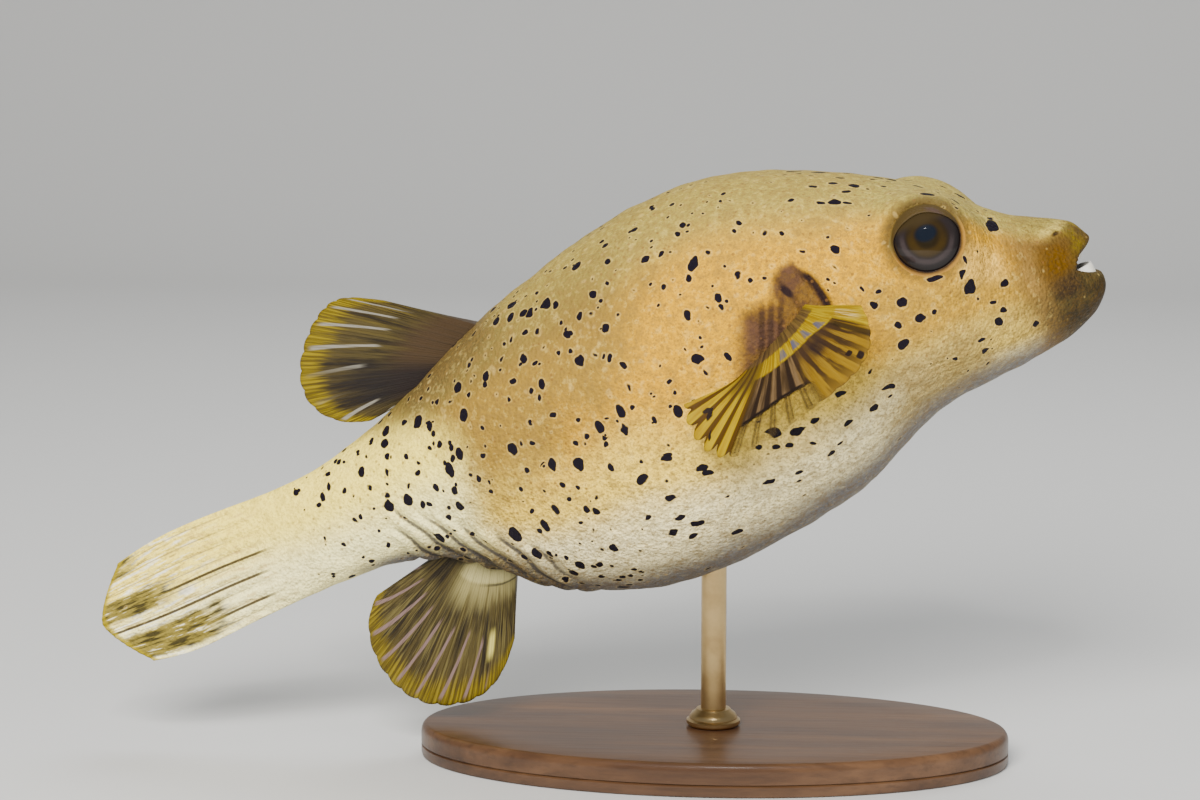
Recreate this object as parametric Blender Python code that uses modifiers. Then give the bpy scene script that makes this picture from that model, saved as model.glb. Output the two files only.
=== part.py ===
"""A blackspotted puffer, life size and nose up as it swims, on a small display stand.

The fish is drawn in its own frame: X runs from the tail tip (0) to the lips, +Y is its left, +Z its back.
It is then pitched nose up and set over the stand. The stand's underside is at Z = 0, centred on the origin.
"""

import math
from collections import namedtuple

import bmesh
import bpy
import numpy as np
from mathutils import Matrix, Vector

MM = 0.001
GAP = 0.3 * MM  # left between neighbouring pieces

# Pose of the fish on its stand
PITCH = math.radians(21.0)
AXIS_HEIGHT = 87.0 * MM  # body axis above the floor, over the rod
ROD_STATION = 158.0 * MM  # distance from the tail tip to the point over the rod

# Where the flesh is parted, as distances from the tail tip
TAIL_FIN_CUT = 50.0 * MM
STALK_CUT = 90.0 * MM
GILL_CUT = 194.0 * MM
SNOUT_CUT = 235.0 * MM
MOUTH_LEVEL = -0.4 * MM

# Eyes: lens-shaped, each in a flat round orbit that looks outwards and a little up and forwards
EYE_CENTRE = Vector((217.7, 26.3, 20.6)) * MM
EYE_AXIS = Vector((0.12, 0.96, 0.24)).normalized()
EYE_RADIUS = 7.9 * MM
EYE_DEPTH = 4.2 * MM
ORBIT_REACH = 16.0 * MM  # how far from the eye's axis the head still bends to the orbit
ORBIT_RIM = 0.9 * MM  # the rim's height over the widest line of the eye
BROW = Vector((219.5, 24.5, 29.5)) * MM  # crest of the ridge over each eye
BROW_LIFT = 1.9 * MM
BROW_SPREAD = 7.0 * MM

NOSTRIL = Vector((245.2, 6.6, 9.6)) * MM
NOSTRIL_RADIUS = 1.5 * MM

# Fins
FIN_EDGE_THICK = 0.8 * MM
CORNER_LOSS = 0.2  # share of its length that a fin's end ray loses, which rounds the fin's corner
CORNER_SPREAD = 0.07  # how far in from the corner that goes, in shares of the fin's root

# Stand
BASE_LENGTH = 140.0 * MM
BASE_WIDTH = 72.0 * MM
BASE_THICK = 8.0 * MM
BASE_BEVEL = 1.2 * MM
ROD_RADIUS = 3.0 * MM
BELLY_HEIGHT = AXIS_HEIGHT - 41.1 * MM  # over the rod
ROD_DEPTH_IN_FISH = 9.0 * MM
COLLAR_RADIUS = 6.5 * MM
COLLAR_HEIGHT = 4.0 * MM

SAND = (0.72, 0.52, 0.25)
CREAM = (0.78, 0.7, 0.52)
OLIVE = (0.38, 0.29, 0.1)
YELLOW = (0.72, 0.5, 0.06)
IRIS = (0.09, 0.05, 0.02)
IVORY = (0.9, 0.88, 0.8)
WALNUT = (0.09, 0.045, 0.02)
BRASS = (0.75, 0.55, 0.25)

SIDES = (("left", 1), ("right", -1))
SEGMENTS = 36  # facets round the body
RING_STEP = 6.4 * MM  # widest spacing of the body's rings

Station = namedtuple(
    "Station", "name x sweep_top sweep_bottom top bottom half_width level upper lower"
)

# Sections of the body in mm. x is where the section crosses the flank; its top and its bottom lie
# further forward by the two sweeps. level is the height of the widest line, and upper and lower are
# the section's superellipse powers above and below it.
STATIONS = [
    Station("tail edge", 0.0, 9.0, 8.3, 11.8, -13.0, 0.5, -0.6, 2.0, 2.0),
    Station("tail fin", 16.0, 4.0, 3.2, 14.2, -14.0, 0.8, 0.0, 2.0, 2.0),
    Station("tail fin rays", 33.0, 1.0, 0.8, 15.2, -12.6, 1.5, 1.2, 2.0, 2.0),
    Station("tail fin root", 49.0, 0.0, 0.0, 15.4, -11.3, 4.2, 2.0, 2.0, 2.0),
    Station("stalk", 62.0, 0.0, 0.0, 16.6, -10.6, 7.8, 2.8, 2.0, 2.0),
    Station("stalk front", 74.0, 0.0, 0.0, 20.0, -11.3, 11.0, 3.6, 2.0, 2.0),
    Station("behind vent", 87.0, 0.0, 0.0, 24.6, -14.8, 15.2, 4.2, 2.05, 2.0),
    Station("vent", 97.0, 0.0, 0.0, 29.4, -21.8, 19.8, 4.2, 2.1, 2.05),
    Station("rear belly", 110.0, 0.0, 0.0, 35.6, -30.6, 26.4, 4.0, 2.1, 2.1),
    Station("belly", 127.0, 0.0, 0.0, 41.6, -36.5, 32.6, 4.0, 2.1, 2.15),
    Station("deepest", 147.0, 0.0, 0.0, 47.2, -38.0, 36.8, 4.6, 2.1, 2.15),
    Station("shoulder", 168.0, 0.0, 0.0, 49.3, -35.2, 38.2, 5.4, 2.1, 2.15),
    Station("gill", 188.0, 0.0, 0.0, 45.8, -29.4, 36.8, 6.2, 2.15, 2.15),
    Station("nape", 206.0, 0.0, 0.0, 38.2, -20.6, 33.0, 6.2, 2.3, 2.15),
    Station("eye", 219.0, 0.0, 0.0, 30.4, -17.7, 28.6, 5.4, 2.5, 2.15),
    Station("brow", 229.0, 0.0, 0.0, 22.8, -17.0, 22.4, 3.6, 2.4, 2.1),
    Station("snout root", 237.0, 0.6, 0.6, 16.4, -15.8, 16.4, 1.6, 2.2, 2.1),
    Station("snout", 242.6, 2.4, 2.4, 12.6, -13.4, 12.4, 0.4, 2.1, 2.0),
    Station("lip root", 245.8, 3.8, 4.0, 9.6, -10.0, 10.0, -0.2, 2.1, 2.0),
    Station("lip outer", 247.0, 4.8, 5.2, 6.6, -7.4, 8.6, -0.4, 2.1, 2.0),
    Station("lip rim", 246.9, 5.3, 5.7, 4.5, -5.2, 7.4, -0.4, 2.0, 2.0),
    Station("lip inner", 246.0, 4.8, 4.9, 2.9, -4.2, 6.3, -0.4, 2.0, 2.0),
    Station("gum", 243.6, 3.8, 3.8, 2.7, -4.9, 5.9, -0.5, 2.0, 2.0),
    Station("throat", 237.0, 0.0, 0.0, 1.2, -3.2, 3.4, -0.6, 2.0, 2.0),
]

# The upright fins. front and rear are the ends of the root, in mm along and up the fish. angles and
# lengths are those of the rays from front to rear; an angle turns from straight back towards the top.
Fin = namedtuple("Fin", "name front rear angles lengths root_thick")
UPRIGHT_FINS = [
    Fin(
        "dorsal_fin",
        front=(114.5, 34.4),
        rear=(96.3, 25.5),
        angles=(33.5, 35.0, 25.5, 9.0, -8.0),
        lengths=(32.6, 36.0, 37.5, 34.6, 21.0),
        root_thick=7.0,
    ),
    Fin(
        "anal_fin",
        front=(100.0, -21.0),
        rear=(84.0, -12.0),
        angles=(-66.0, -62.5, -49.0, -34.0, -14.0),
        lengths=(23.0, 33.0, 38.5, 34.5, 24.0),
        root_thick=6.5,
    ),
]

# The left pectoral fin, in mid stroke. Each ray runs from the root past the elbow to the tip, and each
# list goes from the foremost ray to the rearmost.
PECTORAL_ROOT = [(188.0, 34.0, 16.0), (181.0, 35.0, 12.0), (173.5, 35.5, 7.5)]
PECTORAL_ELBOW = [(194.0, 48.0, 17.0), (180.0, 51.0, 9.5), (166.0, 44.0, 7.0)]
PECTORAL_TIP = [
    (202.0, 52.0, 14.0),
    (197.0, 56.0, 3.5),
    (180.0, 57.0, -3.0),
    (160.0, 52.0, -6.5),
    (155.0, 47.0, 8.0),
]
PECTORAL_ROOT_THICK = 4.0 * MM

# Tooth plates in mm: how far forward and how wide each is, and the heights of its root and its edge
Beak = namedtuple("Beak", "name front half_width root edge")
BEAKS = [
    Beak("teeth_lower", 250.4, 4.6, -6.2, -2.0),
    Beak("teeth_upper", 249.0, 4.4, 4.8, 1.6),
]
BEAK_DEPTH = 6.0  # from a plate's front to its ends
BEAK_ROOT_THICK = 1.4 * MM
BEAK_EDGE_THICK = 0.9 * MM


def natural_spline(at, values):
    """A smooth curve through values (one row for each number in at), as a function of the parameter."""
    at, values = np.asarray(at, float), np.asarray(values, float)
    count, step = len(at), np.diff(at)
    slope = np.diff(values, axis=0) / step[:, None]
    system = np.eye(count)
    right = np.zeros_like(values)
    for i in range(1, count - 1):
        system[i, i - 1 : i + 2] = step[i - 1], 2 * (step[i - 1] + step[i]), step[i]
        right[i] = 6 * (slope[i] - slope[i - 1])
    bend = np.linalg.solve(system, right)

    def curve(t):
        i = int(np.clip(np.searchsorted(at, t) - 1, 0, count - 2))
        a, b, h = at[i + 1] - t, t - at[i], step[i]
        return (
            (bend[i] * a**3 + bend[i + 1] * b**3) / (6 * h)
            + (values[i] / h - bend[i] * h / 6) * a
            + (values[i + 1] / h - bend[i + 1] * h / 6) * b
        )

    return curve


def ring_point(section, angle):
    """The point of a section at an angle round it: 0 is its left flank, a quarter turn its top."""
    x, sweep_top, sweep_bottom, top, bottom, half_width, level, upper, lower = section
    across, up = math.cos(angle), math.sin(angle)
    power, height, sweep = (
        (2 / upper, top - level, sweep_top)
        if up >= 0
        else (2 / lower, bottom - level, sweep_bottom)
    )
    return Vector(
        (
            x + sweep * abs(up) ** 1.4,
            math.copysign(half_width * abs(across) ** power, across),
            level + height * abs(up) ** power,
        )
    )


def body_sections():
    """Sections along the body, from the tail's edge to the back of the mouth, close enough for its bends."""
    rows = np.array([station[1:] for station in STATIONS], float)
    rows[:, :7] *= MM
    marks = [
        [ring_point(row, angle) for angle in (0, math.pi / 2, -math.pi / 2)]
        for row in rows
    ]
    spans = [
        max((b - a).length for a, b in zip(near, far))
        for near, far in zip(marks, marks[1:])
    ]
    along = np.concatenate([[0], np.cumsum(spans)])
    curve = natural_spline(along, rows)
    stops = [0.0]
    for start, span in zip(along, spans):
        steps = max(1, math.ceil(span / RING_STEP))
        stops += [start + span * (k + 1) / steps for k in range(steps)]
    return [curve(t) for t in stops]


def eye_place(side):
    """Centre and outward axis of one eye in the fish's frame; side is 1 for its left."""
    centre = Vector((EYE_CENTRE.x, side * EYE_CENTRE.y, EYE_CENTRE.z))
    return centre, Vector((EYE_AXIS.x, side * EYE_AXIS.y, EYE_AXIS.z))


def orbit_shift(point):
    """How the head bends near an eye: up into a brow, and flush round the eye across its axis."""
    side = math.copysign(1, point.y)
    brow = Vector((BROW.x, side * BROW.y, BROW.z))
    lift = BROW_LIFT * math.exp(-(((point - brow).length / BROW_SPREAD) ** 2))
    centre, axis = eye_place(side)
    offset = point - centre
    height = offset.dot(axis)
    across = (offset - axis * height).length
    near = (ORBIT_REACH - across) / (ORBIT_REACH - EYE_RADIUS)
    near = min(max(near, 0.0), 1.0)
    share = near * near * (3 - 2 * near)
    return axis * share * (ORBIT_RIM - height) + Vector((0, 0, lift))


def to_stand(obj):
    """Carries a piece from the fish's frame to its place over the stand."""
    obj.matrix_world = (
        Matrix.Translation((0, 0, AXIS_HEIGHT))
        @ Matrix.Rotation(-PITCH, 4, "Y")
        @ Matrix.Translation((-ROD_STATION, 0, 0))
    )


def new_object(name, bm, collection):
    mesh = bpy.data.meshes.new(name)
    bm.to_mesh(mesh)
    bm.free()
    obj = bpy.data.objects.new(name, mesh)
    collection.objects.link(obj)
    return obj


def paint(obj, colour, roughness=0.5, metallic=0.0):
    material = bpy.data.materials.new(obj.name)
    material.use_nodes = True
    shader = material.node_tree.nodes["Principled BSDF"]
    shader.inputs["Base Color"].default_value = (*colour, 1)
    shader.inputs["Roughness"].default_value = roughness
    shader.inputs["Metallic"].default_value = metallic
    obj.data.materials.clear()
    obj.data.materials.append(material)
    obj.data.shade_smooth()
    obj.data.set_sharp_from_angle(angle=math.radians(35))


def boolean(obj, cutter, operation="DIFFERENCE"):
    modifier = obj.modifiers.new(operation.lower(), "BOOLEAN")
    modifier.operation = operation
    modifier.object = cutter


def make_flesh(name, collection, swell=0.0):
    """The whole body from the tail fin to the inside of the mouth, as one closed skin."""
    bm = bmesh.new()
    rings = []
    for section in body_sections():
        ring = []
        for k in range(SEGMENTS):
            point = ring_point(section, 2 * math.pi * k / SEGMENTS)
            ring.append(bm.verts.new(point + orbit_shift(point)))
        rings.append(ring)
    for near, far in zip(rings, rings[1:]):
        for k in range(SEGMENTS):
            nxt = (k + 1) % SEGMENTS
            bm.faces.new((near[k], near[nxt], far[nxt], far[k]))
    bm.faces.new(rings[0][::-1])
    bm.faces.new(rings[-1])
    bmesh.ops.recalc_face_normals(bm, faces=bm.faces)
    bm.normal_update()
    for vert in bm.verts:
        vert.co += vert.normal * swell
    obj = new_object(name, bm, collection)
    to_stand(obj)
    return obj


def make_block(name, low, high, collection):
    """A box in the fish's frame between two corners."""
    bm = bmesh.new()
    bmesh.ops.create_cube(bm, size=1.0)
    low, high = Vector(low), Vector(high)
    for vert in bm.verts:
        vert.co = (low + high) / 2 + Vector(
            c * (b - a) for c, a, b in zip(vert.co, low, high)
        )
    block = new_object(name, bm, collection)
    to_stand(block)
    return block


def part_flesh(flesh, tools, collection):
    """Parts the body with thin cuts into the lengths that a person would name."""
    far = 0.2
    lengths = {
        "tail_fin": (-far, TAIL_FIN_CUT, -far, far),
        "tail_stalk": (TAIL_FIN_CUT, STALK_CUT, -far, far),
        "trunk": (STALK_CUT, GILL_CUT, -far, far),
        "head": (GILL_CUT, SNOUT_CUT, -far, far),
        "snout": (SNOUT_CUT, SNOUT_CUT + far, MOUTH_LEVEL, far),
        "lower_jaw": (SNOUT_CUT, SNOUT_CUT + far, -far, MOUTH_LEVEL),
    }
    colours = {"tail_fin": CREAM, "tail_stalk": CREAM, "lower_jaw": OLIVE}
    pieces = {}
    for name, (back, front, low, high) in lengths.items():
        piece = flesh.copy()
        piece.data = flesh.data.copy()
        piece.name = name
        collection.objects.link(piece)
        block = make_block(
            name + "_block",
            (back + GAP / 2, -far, low + GAP / 2),
            (front - GAP / 2, far, high - GAP / 2),
            tools,
        )
        boolean(piece, block, "INTERSECT")
        paint(piece, colours.get(name, SAND))
        pieces[name] = piece
    return pieces


def make_sheet(name, surface, columns, rows, root_thick, edge_thick, fleshy, collection):
    """A fin or a tooth plate as a sheet, thick at its root and thin at its edge.

    surface(across, out) gives a point in the fish's frame; across runs along the root and out from
    the root to the edge, both from 0 to 1. fleshy is the share of the sheet over which it thins.
    """
    bm = bmesh.new()
    bmesh.ops.create_grid(bm, x_segments=columns, y_segments=rows, size=0.5)
    thickness = []
    for vert in bm.verts:
        across, out = vert.co.x + 0.5, vert.co.y + 0.5
        vert.co = surface(across, out)
        root = math.exp(-((out / fleshy) ** 2))
        thickness.append((edge_thick + (root_thick - edge_thick) * root) / root_thick)
    sheet = new_object(name, bm, collection)
    group = sheet.vertex_groups.new(name="thickness")
    for index, share in enumerate(thickness):
        group.add([index], share, "REPLACE")
    solid = sheet.modifiers.new("thickness", "SOLIDIFY")
    solid.thickness = root_thick
    solid.offset = 0.0
    solid.vertex_group = group.name
    to_stand(sheet)
    return sheet


def corner_share(across):
    """The share of its length that a ray loses to the rounding of the fin's two corners."""
    from_end = min(across, 1 - across)
    return CORNER_LOSS * math.exp(-from_end / CORNER_SPREAD)


def fan(fin):
    """The surface of an upright fin, which spreads from a straight root."""
    marks = np.linspace(0, 1, len(fin.angles))
    rays = natural_spline(marks, np.column_stack([np.radians(fin.angles), fin.lengths]))
    front = Vector((fin.front[0], 0, fin.front[1]))
    rear = Vector((fin.rear[0], 0, fin.rear[1]))

    def surface(across, out):
        angle, length = rays(across)
        reach = length * out * (1 - corner_share(across))
        ray = Vector((-math.cos(angle), 0, math.sin(angle)))
        return (front.lerp(rear, across) + ray * reach) * MM

    return surface


def paddle(side):
    """The surface of a pectoral fin: its rays leave the flank, then bend down and round."""
    root, elbow, tip = (
        natural_spline(np.linspace(0, 1, len(points)), points)
        for points in (PECTORAL_ROOT, PECTORAL_ELBOW, PECTORAL_TIP)
    )

    def surface(across, out):
        a, b, c = (Vector(curve(across)) for curve in (root, elbow, tip))
        out *= 1 - 0.6 * corner_share(across)
        point = a * (1 - out) ** 2 + b * 2 * out * (1 - out) + c * out**2
        return Vector((point.x, side * point.y, point.z)) * MM

    return surface


def horseshoe(beak):
    """The surface of one jaw's fused tooth plate: a band bent round, with its ends to the rear."""

    def surface(across, out):
        angle = math.pi * (across - 0.5)
        x = beak.front - BEAK_DEPTH * (1 - math.cos(angle))
        y = beak.half_width * math.sin(angle)
        return Vector((x, y, beak.root + (beak.edge - beak.root) * out)) * MM

    return surface


def make_lens(name, radius, depth, side, collection):
    """A lens-shaped eye, or the slightly larger cutter that makes its socket."""
    bm = bmesh.new()
    bmesh.ops.create_uvsphere(bm, u_segments=24, v_segments=12, radius=1.0)
    centre, axis = eye_place(side)
    turn = axis.to_track_quat("Z", "Y").to_matrix().to_4x4()
    size = Matrix.Diagonal((radius, radius, depth, 1))
    bm.transform(Matrix.Translation(centre) @ turn @ size)
    lens = new_object(name, bm, collection)
    to_stand(lens)
    return lens


def make_nostril(side, collection):
    """The raised rim of one nostril, to be joined to the snout."""
    bm = bmesh.new()
    bmesh.ops.create_uvsphere(bm, u_segments=10, v_segments=6, radius=NOSTRIL_RADIUS)
    bm.transform(Matrix.Translation((NOSTRIL.x, side * NOSTRIL.y, NOSTRIL.z)))
    nostril = new_object("nostril", bm, collection)
    to_stand(nostril)
    return nostril


def make_post(name, radius, low, high, collection):
    """An upright cylinder over the origin."""
    bm = bmesh.new()
    bmesh.ops.create_cone(
        bm,
        cap_ends=True,
        segments=20,
        radius1=radius,
        radius2=radius,
        depth=high - low,
        matrix=Matrix.Translation((0, 0, (low + high) / 2)),
    )
    return new_object(name, bm, collection)


def make_stand(trunk, puffer, tools):
    """An oval wooden base, and a brass rod in a collar that enters a blind hole in the belly."""
    bm = bmesh.new()
    bmesh.ops.create_cone(
        bm,
        cap_ends=True,
        segments=48,
        radius1=0.5,
        radius2=0.5,
        depth=BASE_THICK,
        matrix=Matrix.Translation((0, 0, BASE_THICK / 2)),
    )
    bmesh.ops.scale(bm, vec=(BASE_LENGTH, BASE_WIDTH, 1), verts=bm.verts)
    base = new_object("stand_base", bm, puffer)
    bevel = base.modifiers.new("bevel", "BEVEL")
    bevel.width = BASE_BEVEL
    bevel.segments = 1
    bevel.limit_method = "ANGLE"
    bevel.angle_limit = math.radians(60)
    paint(base, WALNUT, roughness=0.4)

    foot = BASE_THICK + GAP
    collar_top = foot + COLLAR_HEIGHT
    rod_top = BELLY_HEIGHT + ROD_DEPTH_IN_FISH
    rod = make_post("stand_rod", ROD_RADIUS, foot, rod_top, puffer)
    collar = make_post("stand_collar", COLLAR_RADIUS, foot, collar_top, puffer)
    for metal in (rod, collar):
        paint(metal, BRASS, roughness=0.3, metallic=1.0)
    hole = make_post("collar_hole", ROD_RADIUS + GAP, 0, collar_top + GAP, tools)
    socket = make_post("rod_socket", ROD_RADIUS + GAP, 0, rod_top + GAP, tools)
    boolean(collar, hole)
    boolean(trunk, socket)


def make_fins(coat, collection):
    """The fins with a free root, each cut back to the skin. coat is the body swelled by the gap."""
    surfaces = [(fin.name, fan(fin), fin.root_thick * MM, 10, OLIVE) for fin in UPRIGHT_FINS]
    for name, side in SIDES:
        name = "pectoral_fin_" + name
        surfaces.append((name, paddle(side), PECTORAL_ROOT_THICK, 12, YELLOW))
    for name, surface, root_thick, columns, colour in surfaces:
        fin = make_sheet(
            name, surface, columns, 7, root_thick, FIN_EDGE_THICK, 0.4, collection
        )
        boolean(fin, coat)
        paint(fin, colour)


def make_head_details(pieces, coat, puffer, tools):
    """Eyes in their sockets, raised nostrils and the two tooth plates."""
    for name, side in SIDES:
        eye = make_lens("eye_" + name, EYE_RADIUS, EYE_DEPTH, side, puffer)
        paint(eye, IRIS, roughness=0.1)
        socket = make_lens("socket_" + name, EYE_RADIUS + GAP, EYE_DEPTH + GAP, side, tools)
        boolean(pieces["head"], socket)
        boolean(pieces["snout"], make_nostril(side, tools), "UNION")
    for beak in BEAKS:
        plate = make_sheet(
            beak.name, horseshoe(beak), 10, 2, BEAK_ROOT_THICK, BEAK_EDGE_THICK, 0.8, puffer
        )
        boolean(plate, coat)
        paint(plate, IVORY, roughness=0.2)


def main():
    for obj in list(bpy.data.objects):
        bpy.data.objects.remove(obj)
    puffer = bpy.data.collections.new("spotted_puffer")
    tools = bpy.data.collections.new("cutters")
    for collection in (puffer, tools):
        bpy.context.scene.collection.children.link(collection)

    flesh = make_flesh("flesh", tools)
    coat = make_flesh("flesh_and_gap", tools, GAP)
    pieces = part_flesh(flesh, tools, puffer)
    make_fins(coat, puffer)
    make_head_details(pieces, coat, puffer, tools)
    make_stand(pieces["trunk"], puffer, tools)

    for tool in tools.objects:
        tool.hide_render = True
        tool.display_type = "WIRE"


main()
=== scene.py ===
"""The blackspotted puffer on its display stand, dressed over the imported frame.

The fish is worked out in its own frame, in millimetres: X from the tail tip (0) to the lips, +Y its left,
+Z its back. place() then pitches it nose up and sets it over the stand, in metres.
"""

import math
from collections import namedtuple

import bpy
import numpy as np
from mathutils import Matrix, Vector


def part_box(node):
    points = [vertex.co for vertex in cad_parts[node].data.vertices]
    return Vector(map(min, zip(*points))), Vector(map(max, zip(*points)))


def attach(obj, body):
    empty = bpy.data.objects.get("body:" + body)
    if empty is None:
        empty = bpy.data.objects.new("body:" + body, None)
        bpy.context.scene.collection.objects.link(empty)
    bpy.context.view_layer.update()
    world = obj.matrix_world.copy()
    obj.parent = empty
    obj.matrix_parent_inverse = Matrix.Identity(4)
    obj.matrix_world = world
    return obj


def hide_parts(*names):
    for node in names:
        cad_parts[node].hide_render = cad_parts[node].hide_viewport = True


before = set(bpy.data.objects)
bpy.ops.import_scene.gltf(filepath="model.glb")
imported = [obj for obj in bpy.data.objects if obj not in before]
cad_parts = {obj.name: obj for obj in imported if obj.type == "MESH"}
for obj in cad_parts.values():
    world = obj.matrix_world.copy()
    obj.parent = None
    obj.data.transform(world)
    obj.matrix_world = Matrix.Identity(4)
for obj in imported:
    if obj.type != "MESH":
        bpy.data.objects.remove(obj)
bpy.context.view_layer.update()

SEED = 11
SIDES = (("left", 1), ("right", -1))

# Pose of the fish on its stand
PITCH = math.radians(21.0)
AXIS_HEIGHT = 87.0  # of the fish's X axis above the table, over the rod
ROD_STATION = 158.0  # the rod's place along that axis

# Eyes, orbits, brows and nostrils
EYE_CENTRE = np.array([217.7, 26.3, 20.6])
EYE_AXIS = np.array([0.12, 0.96, 0.24]) / np.linalg.norm([0.12, 0.96, 0.24])
EYE_RADIUS = 7.9
EYE_DEPTH = 4.2
ORBIT_REACH = 16.0  # how far from the eye's axis the head bends towards it
ORBIT_RIM = 0.9  # the skin's height round the eye, over the eye's widest plane
SOCKET_DEPTH = 2.6
LID_REACH = 1.15  # outer edge of the lids, in eye radii
BROW = np.array([219.5, 24.5, 29.5])
BROW_LIFT = 1.9
BROW_SPREAD = 7.0
NOSTRIL = np.array([245.2, 6.6, 9.6])

# The body's sections, as in the solids except at the lips and gum: x at the flank, how far the top and the
# bottom sweep forward, heights of top and bottom, half width, height of the widest line, and superellipse
# powers above and below it.
STATIONS = {
    "tail edge": (0.0, 9.0, 8.3, 11.8, -13.0, 0.5, -0.6, 2.0, 2.0),
    "tail fin": (16.0, 4.0, 3.2, 14.2, -14.0, 0.8, 0.0, 2.0, 2.0),
    "tail fin rays": (33.0, 1.0, 0.8, 15.2, -12.6, 1.5, 1.2, 2.0, 2.0),
    "tail fin root": (49.0, 0.0, 0.0, 15.4, -11.3, 4.2, 2.0, 2.0, 2.0),
    "stalk": (62.0, 0.0, 0.0, 16.6, -10.6, 7.8, 2.8, 2.0, 2.0),
    "stalk front": (74.0, 0.0, 0.0, 20.0, -11.3, 11.0, 3.6, 2.0, 2.0),
    "behind vent": (87.0, 0.0, 0.0, 24.6, -14.8, 15.2, 4.2, 2.05, 2.0),
    "vent": (97.0, 0.0, 0.0, 29.4, -21.8, 19.8, 4.2, 2.1, 2.05),
    "rear belly": (110.0, 0.0, 0.0, 35.6, -30.6, 26.4, 4.0, 2.1, 2.1),
    "belly": (127.0, 0.0, 0.0, 41.6, -36.5, 32.6, 4.0, 2.1, 2.15),
    "deepest": (147.0, 0.0, 0.0, 47.2, -38.0, 36.8, 4.6, 2.1, 2.15),
    "shoulder": (168.0, 0.0, 0.0, 49.3, -35.2, 38.2, 5.4, 2.1, 2.15),
    "gill": (188.0, 0.0, 0.0, 45.8, -29.4, 36.8, 6.2, 2.15, 2.15),
    "nape": (206.0, 0.0, 0.0, 38.2, -20.6, 33.0, 6.2, 2.3, 2.15),
    "eye": (219.0, 0.0, 0.0, 30.4, -17.7, 28.6, 5.4, 2.5, 2.15),
    "brow": (229.0, 0.0, 0.0, 22.8, -17.0, 22.4, 3.6, 2.4, 2.1),
    "snout root": (237.0, 0.6, 0.6, 16.4, -15.8, 16.4, 1.6, 2.2, 2.1),
    "snout": (242.6, 2.4, 2.4, 12.6, -13.4, 12.4, 0.4, 2.1, 2.0),
    "lip root": (245.8, 3.8, 4.0, 9.6, -10.0, 10.0, -0.2, 2.1, 2.0),
    "lip outer": (246.8, 5.0, 5.1, 6.6, -6.2, 8.6, 0.0, 2.1, 2.0),
    "lip rim": (246.3, 5.9, 5.9, 4.9, -3.3, 7.4, 0.8, 2.0, 2.0),
    "lip inner": (245.4, 5.2, 5.2, 3.4, -2.7, 6.3, 0.4, 2.0, 2.0),
    "gum": (243.4, 4.0, 4.0, 2.9, -3.9, 5.9, -0.2, 2.0, 2.0),
    "throat": (237.0, 0.0, 0.0, 1.2, -3.2, 3.4, -0.6, 2.0, 2.0),
}
SKIN_AROUND = 248  # columns round the body
# Spacing of the skin's rings, from the station named to the next one named
SKIN_STEPS = {
    "tail edge": 0.75,
    "tail fin root": 1.15,
    "stalk front": 0.7,
    "rear belly": 1.15,
    "nape": 0.6,
    "snout root": 0.4,
    "gum": 0.9,
}

# The gill slit in front of the pectoral fin's root: place along the fish and height
GILL_SLIT = [(191.6, 9.0), (192.7, 14.5), (192.0, 19.0), (190.9, 22.0), (189.2, 25.0)]
# Upright folds by the pectoral fin's root: how far along the fish each stands, less 0.38 of its height
ROOT_FOLDS = (171.0, 173.2, 175.6)

TAIL_RAYS = 9
TAIL_RAY_START = 50.0  # rays show behind this distance from the tail tip
# Dark lines down the tail: their share of its height and where they start, in hundreds of mm
TAIL_LINES = [(0.55, 0.48), (0.37, 0.46), (0.155, 0.46)]

Fin = namedtuple("Fin", "node front rear angles lengths root_thick rays panes pane_shift")
UPRIGHT_FINS = [
    Fin(
        "dorsal_fin",
        front=(114.5, 34.4),
        rear=(96.3, 25.5),
        angles=(33.5, 35.0, 25.5, 9.0, -8.0),
        lengths=(32.6, 36.0, 37.5, 34.6, 21.0),
        root_thick=6.6,
        rays=12,
        panes=7.9,
        pane_shift=0.0,
    ),
    Fin(
        "anal_fin",
        front=(100.0, -21.0),
        rear=(84.0, -12.0),
        angles=(-66.0, -62.5, -49.0, -34.0, -14.0),
        lengths=(23.0, 33.0, 38.5, 34.5, 24.0),
        root_thick=6.1,
        rays=12,
        panes=9.7,
        pane_shift=0.2,
    ),
]
PECTORAL_ROOT = [(188.0, 34.0, 16.0), (181.0, 35.0, 12.0), (173.5, 35.5, 7.5)]
PECTORAL_ELBOW = [(194.0, 48.0, 17.0), (180.0, 51.0, 9.5), (166.0, 44.0, 7.0)]
PECTORAL_TIP = [
    (202.0, 52.0, 14.0),
    (197.0, 56.0, 3.5),
    (180.0, 57.0, -3.0),
    (160.0, 52.0, -6.5),
    (152.5, 47.0, 7.0),
]
PECTORAL_RAYS = 17
PECTORAL_ROOT_THICK = 3.6
PECTORAL_RAY_THICK = 0.6
UPRIGHT_RAY_THICK = 0.52
# Dark spots on the pectoral fin: across it, out along it and half width
PECTORAL_BLOTS = ((0.25, 0.86, 0.02), (0.235, 0.95, 0.024), (0.91, 0.82, 0.034), (0.84, 0.93, 0.014))
# Olive blotches by the tail's edge: share of its height, reach in hundreds of mm and half height
TAIL_BLOTCHES = ((0.17, 0.33, 0.19), (0.56, 0.23, 0.14), (0.93, 0.17, 0.1))
CORNER_LOSS = 0.2  # share of its length that a fin loses at its two corners
CORNER_SPREAD = 0.07
# The fins' sheets: thickness past the root, how far the ribs stand out and how deep the edge is notched
SHEET_THICK = 0.42
RIB_HEIGHT = 0.35
NOTCH = 0.014


# ---------------------------------------------------------------- curves and meshes


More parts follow.
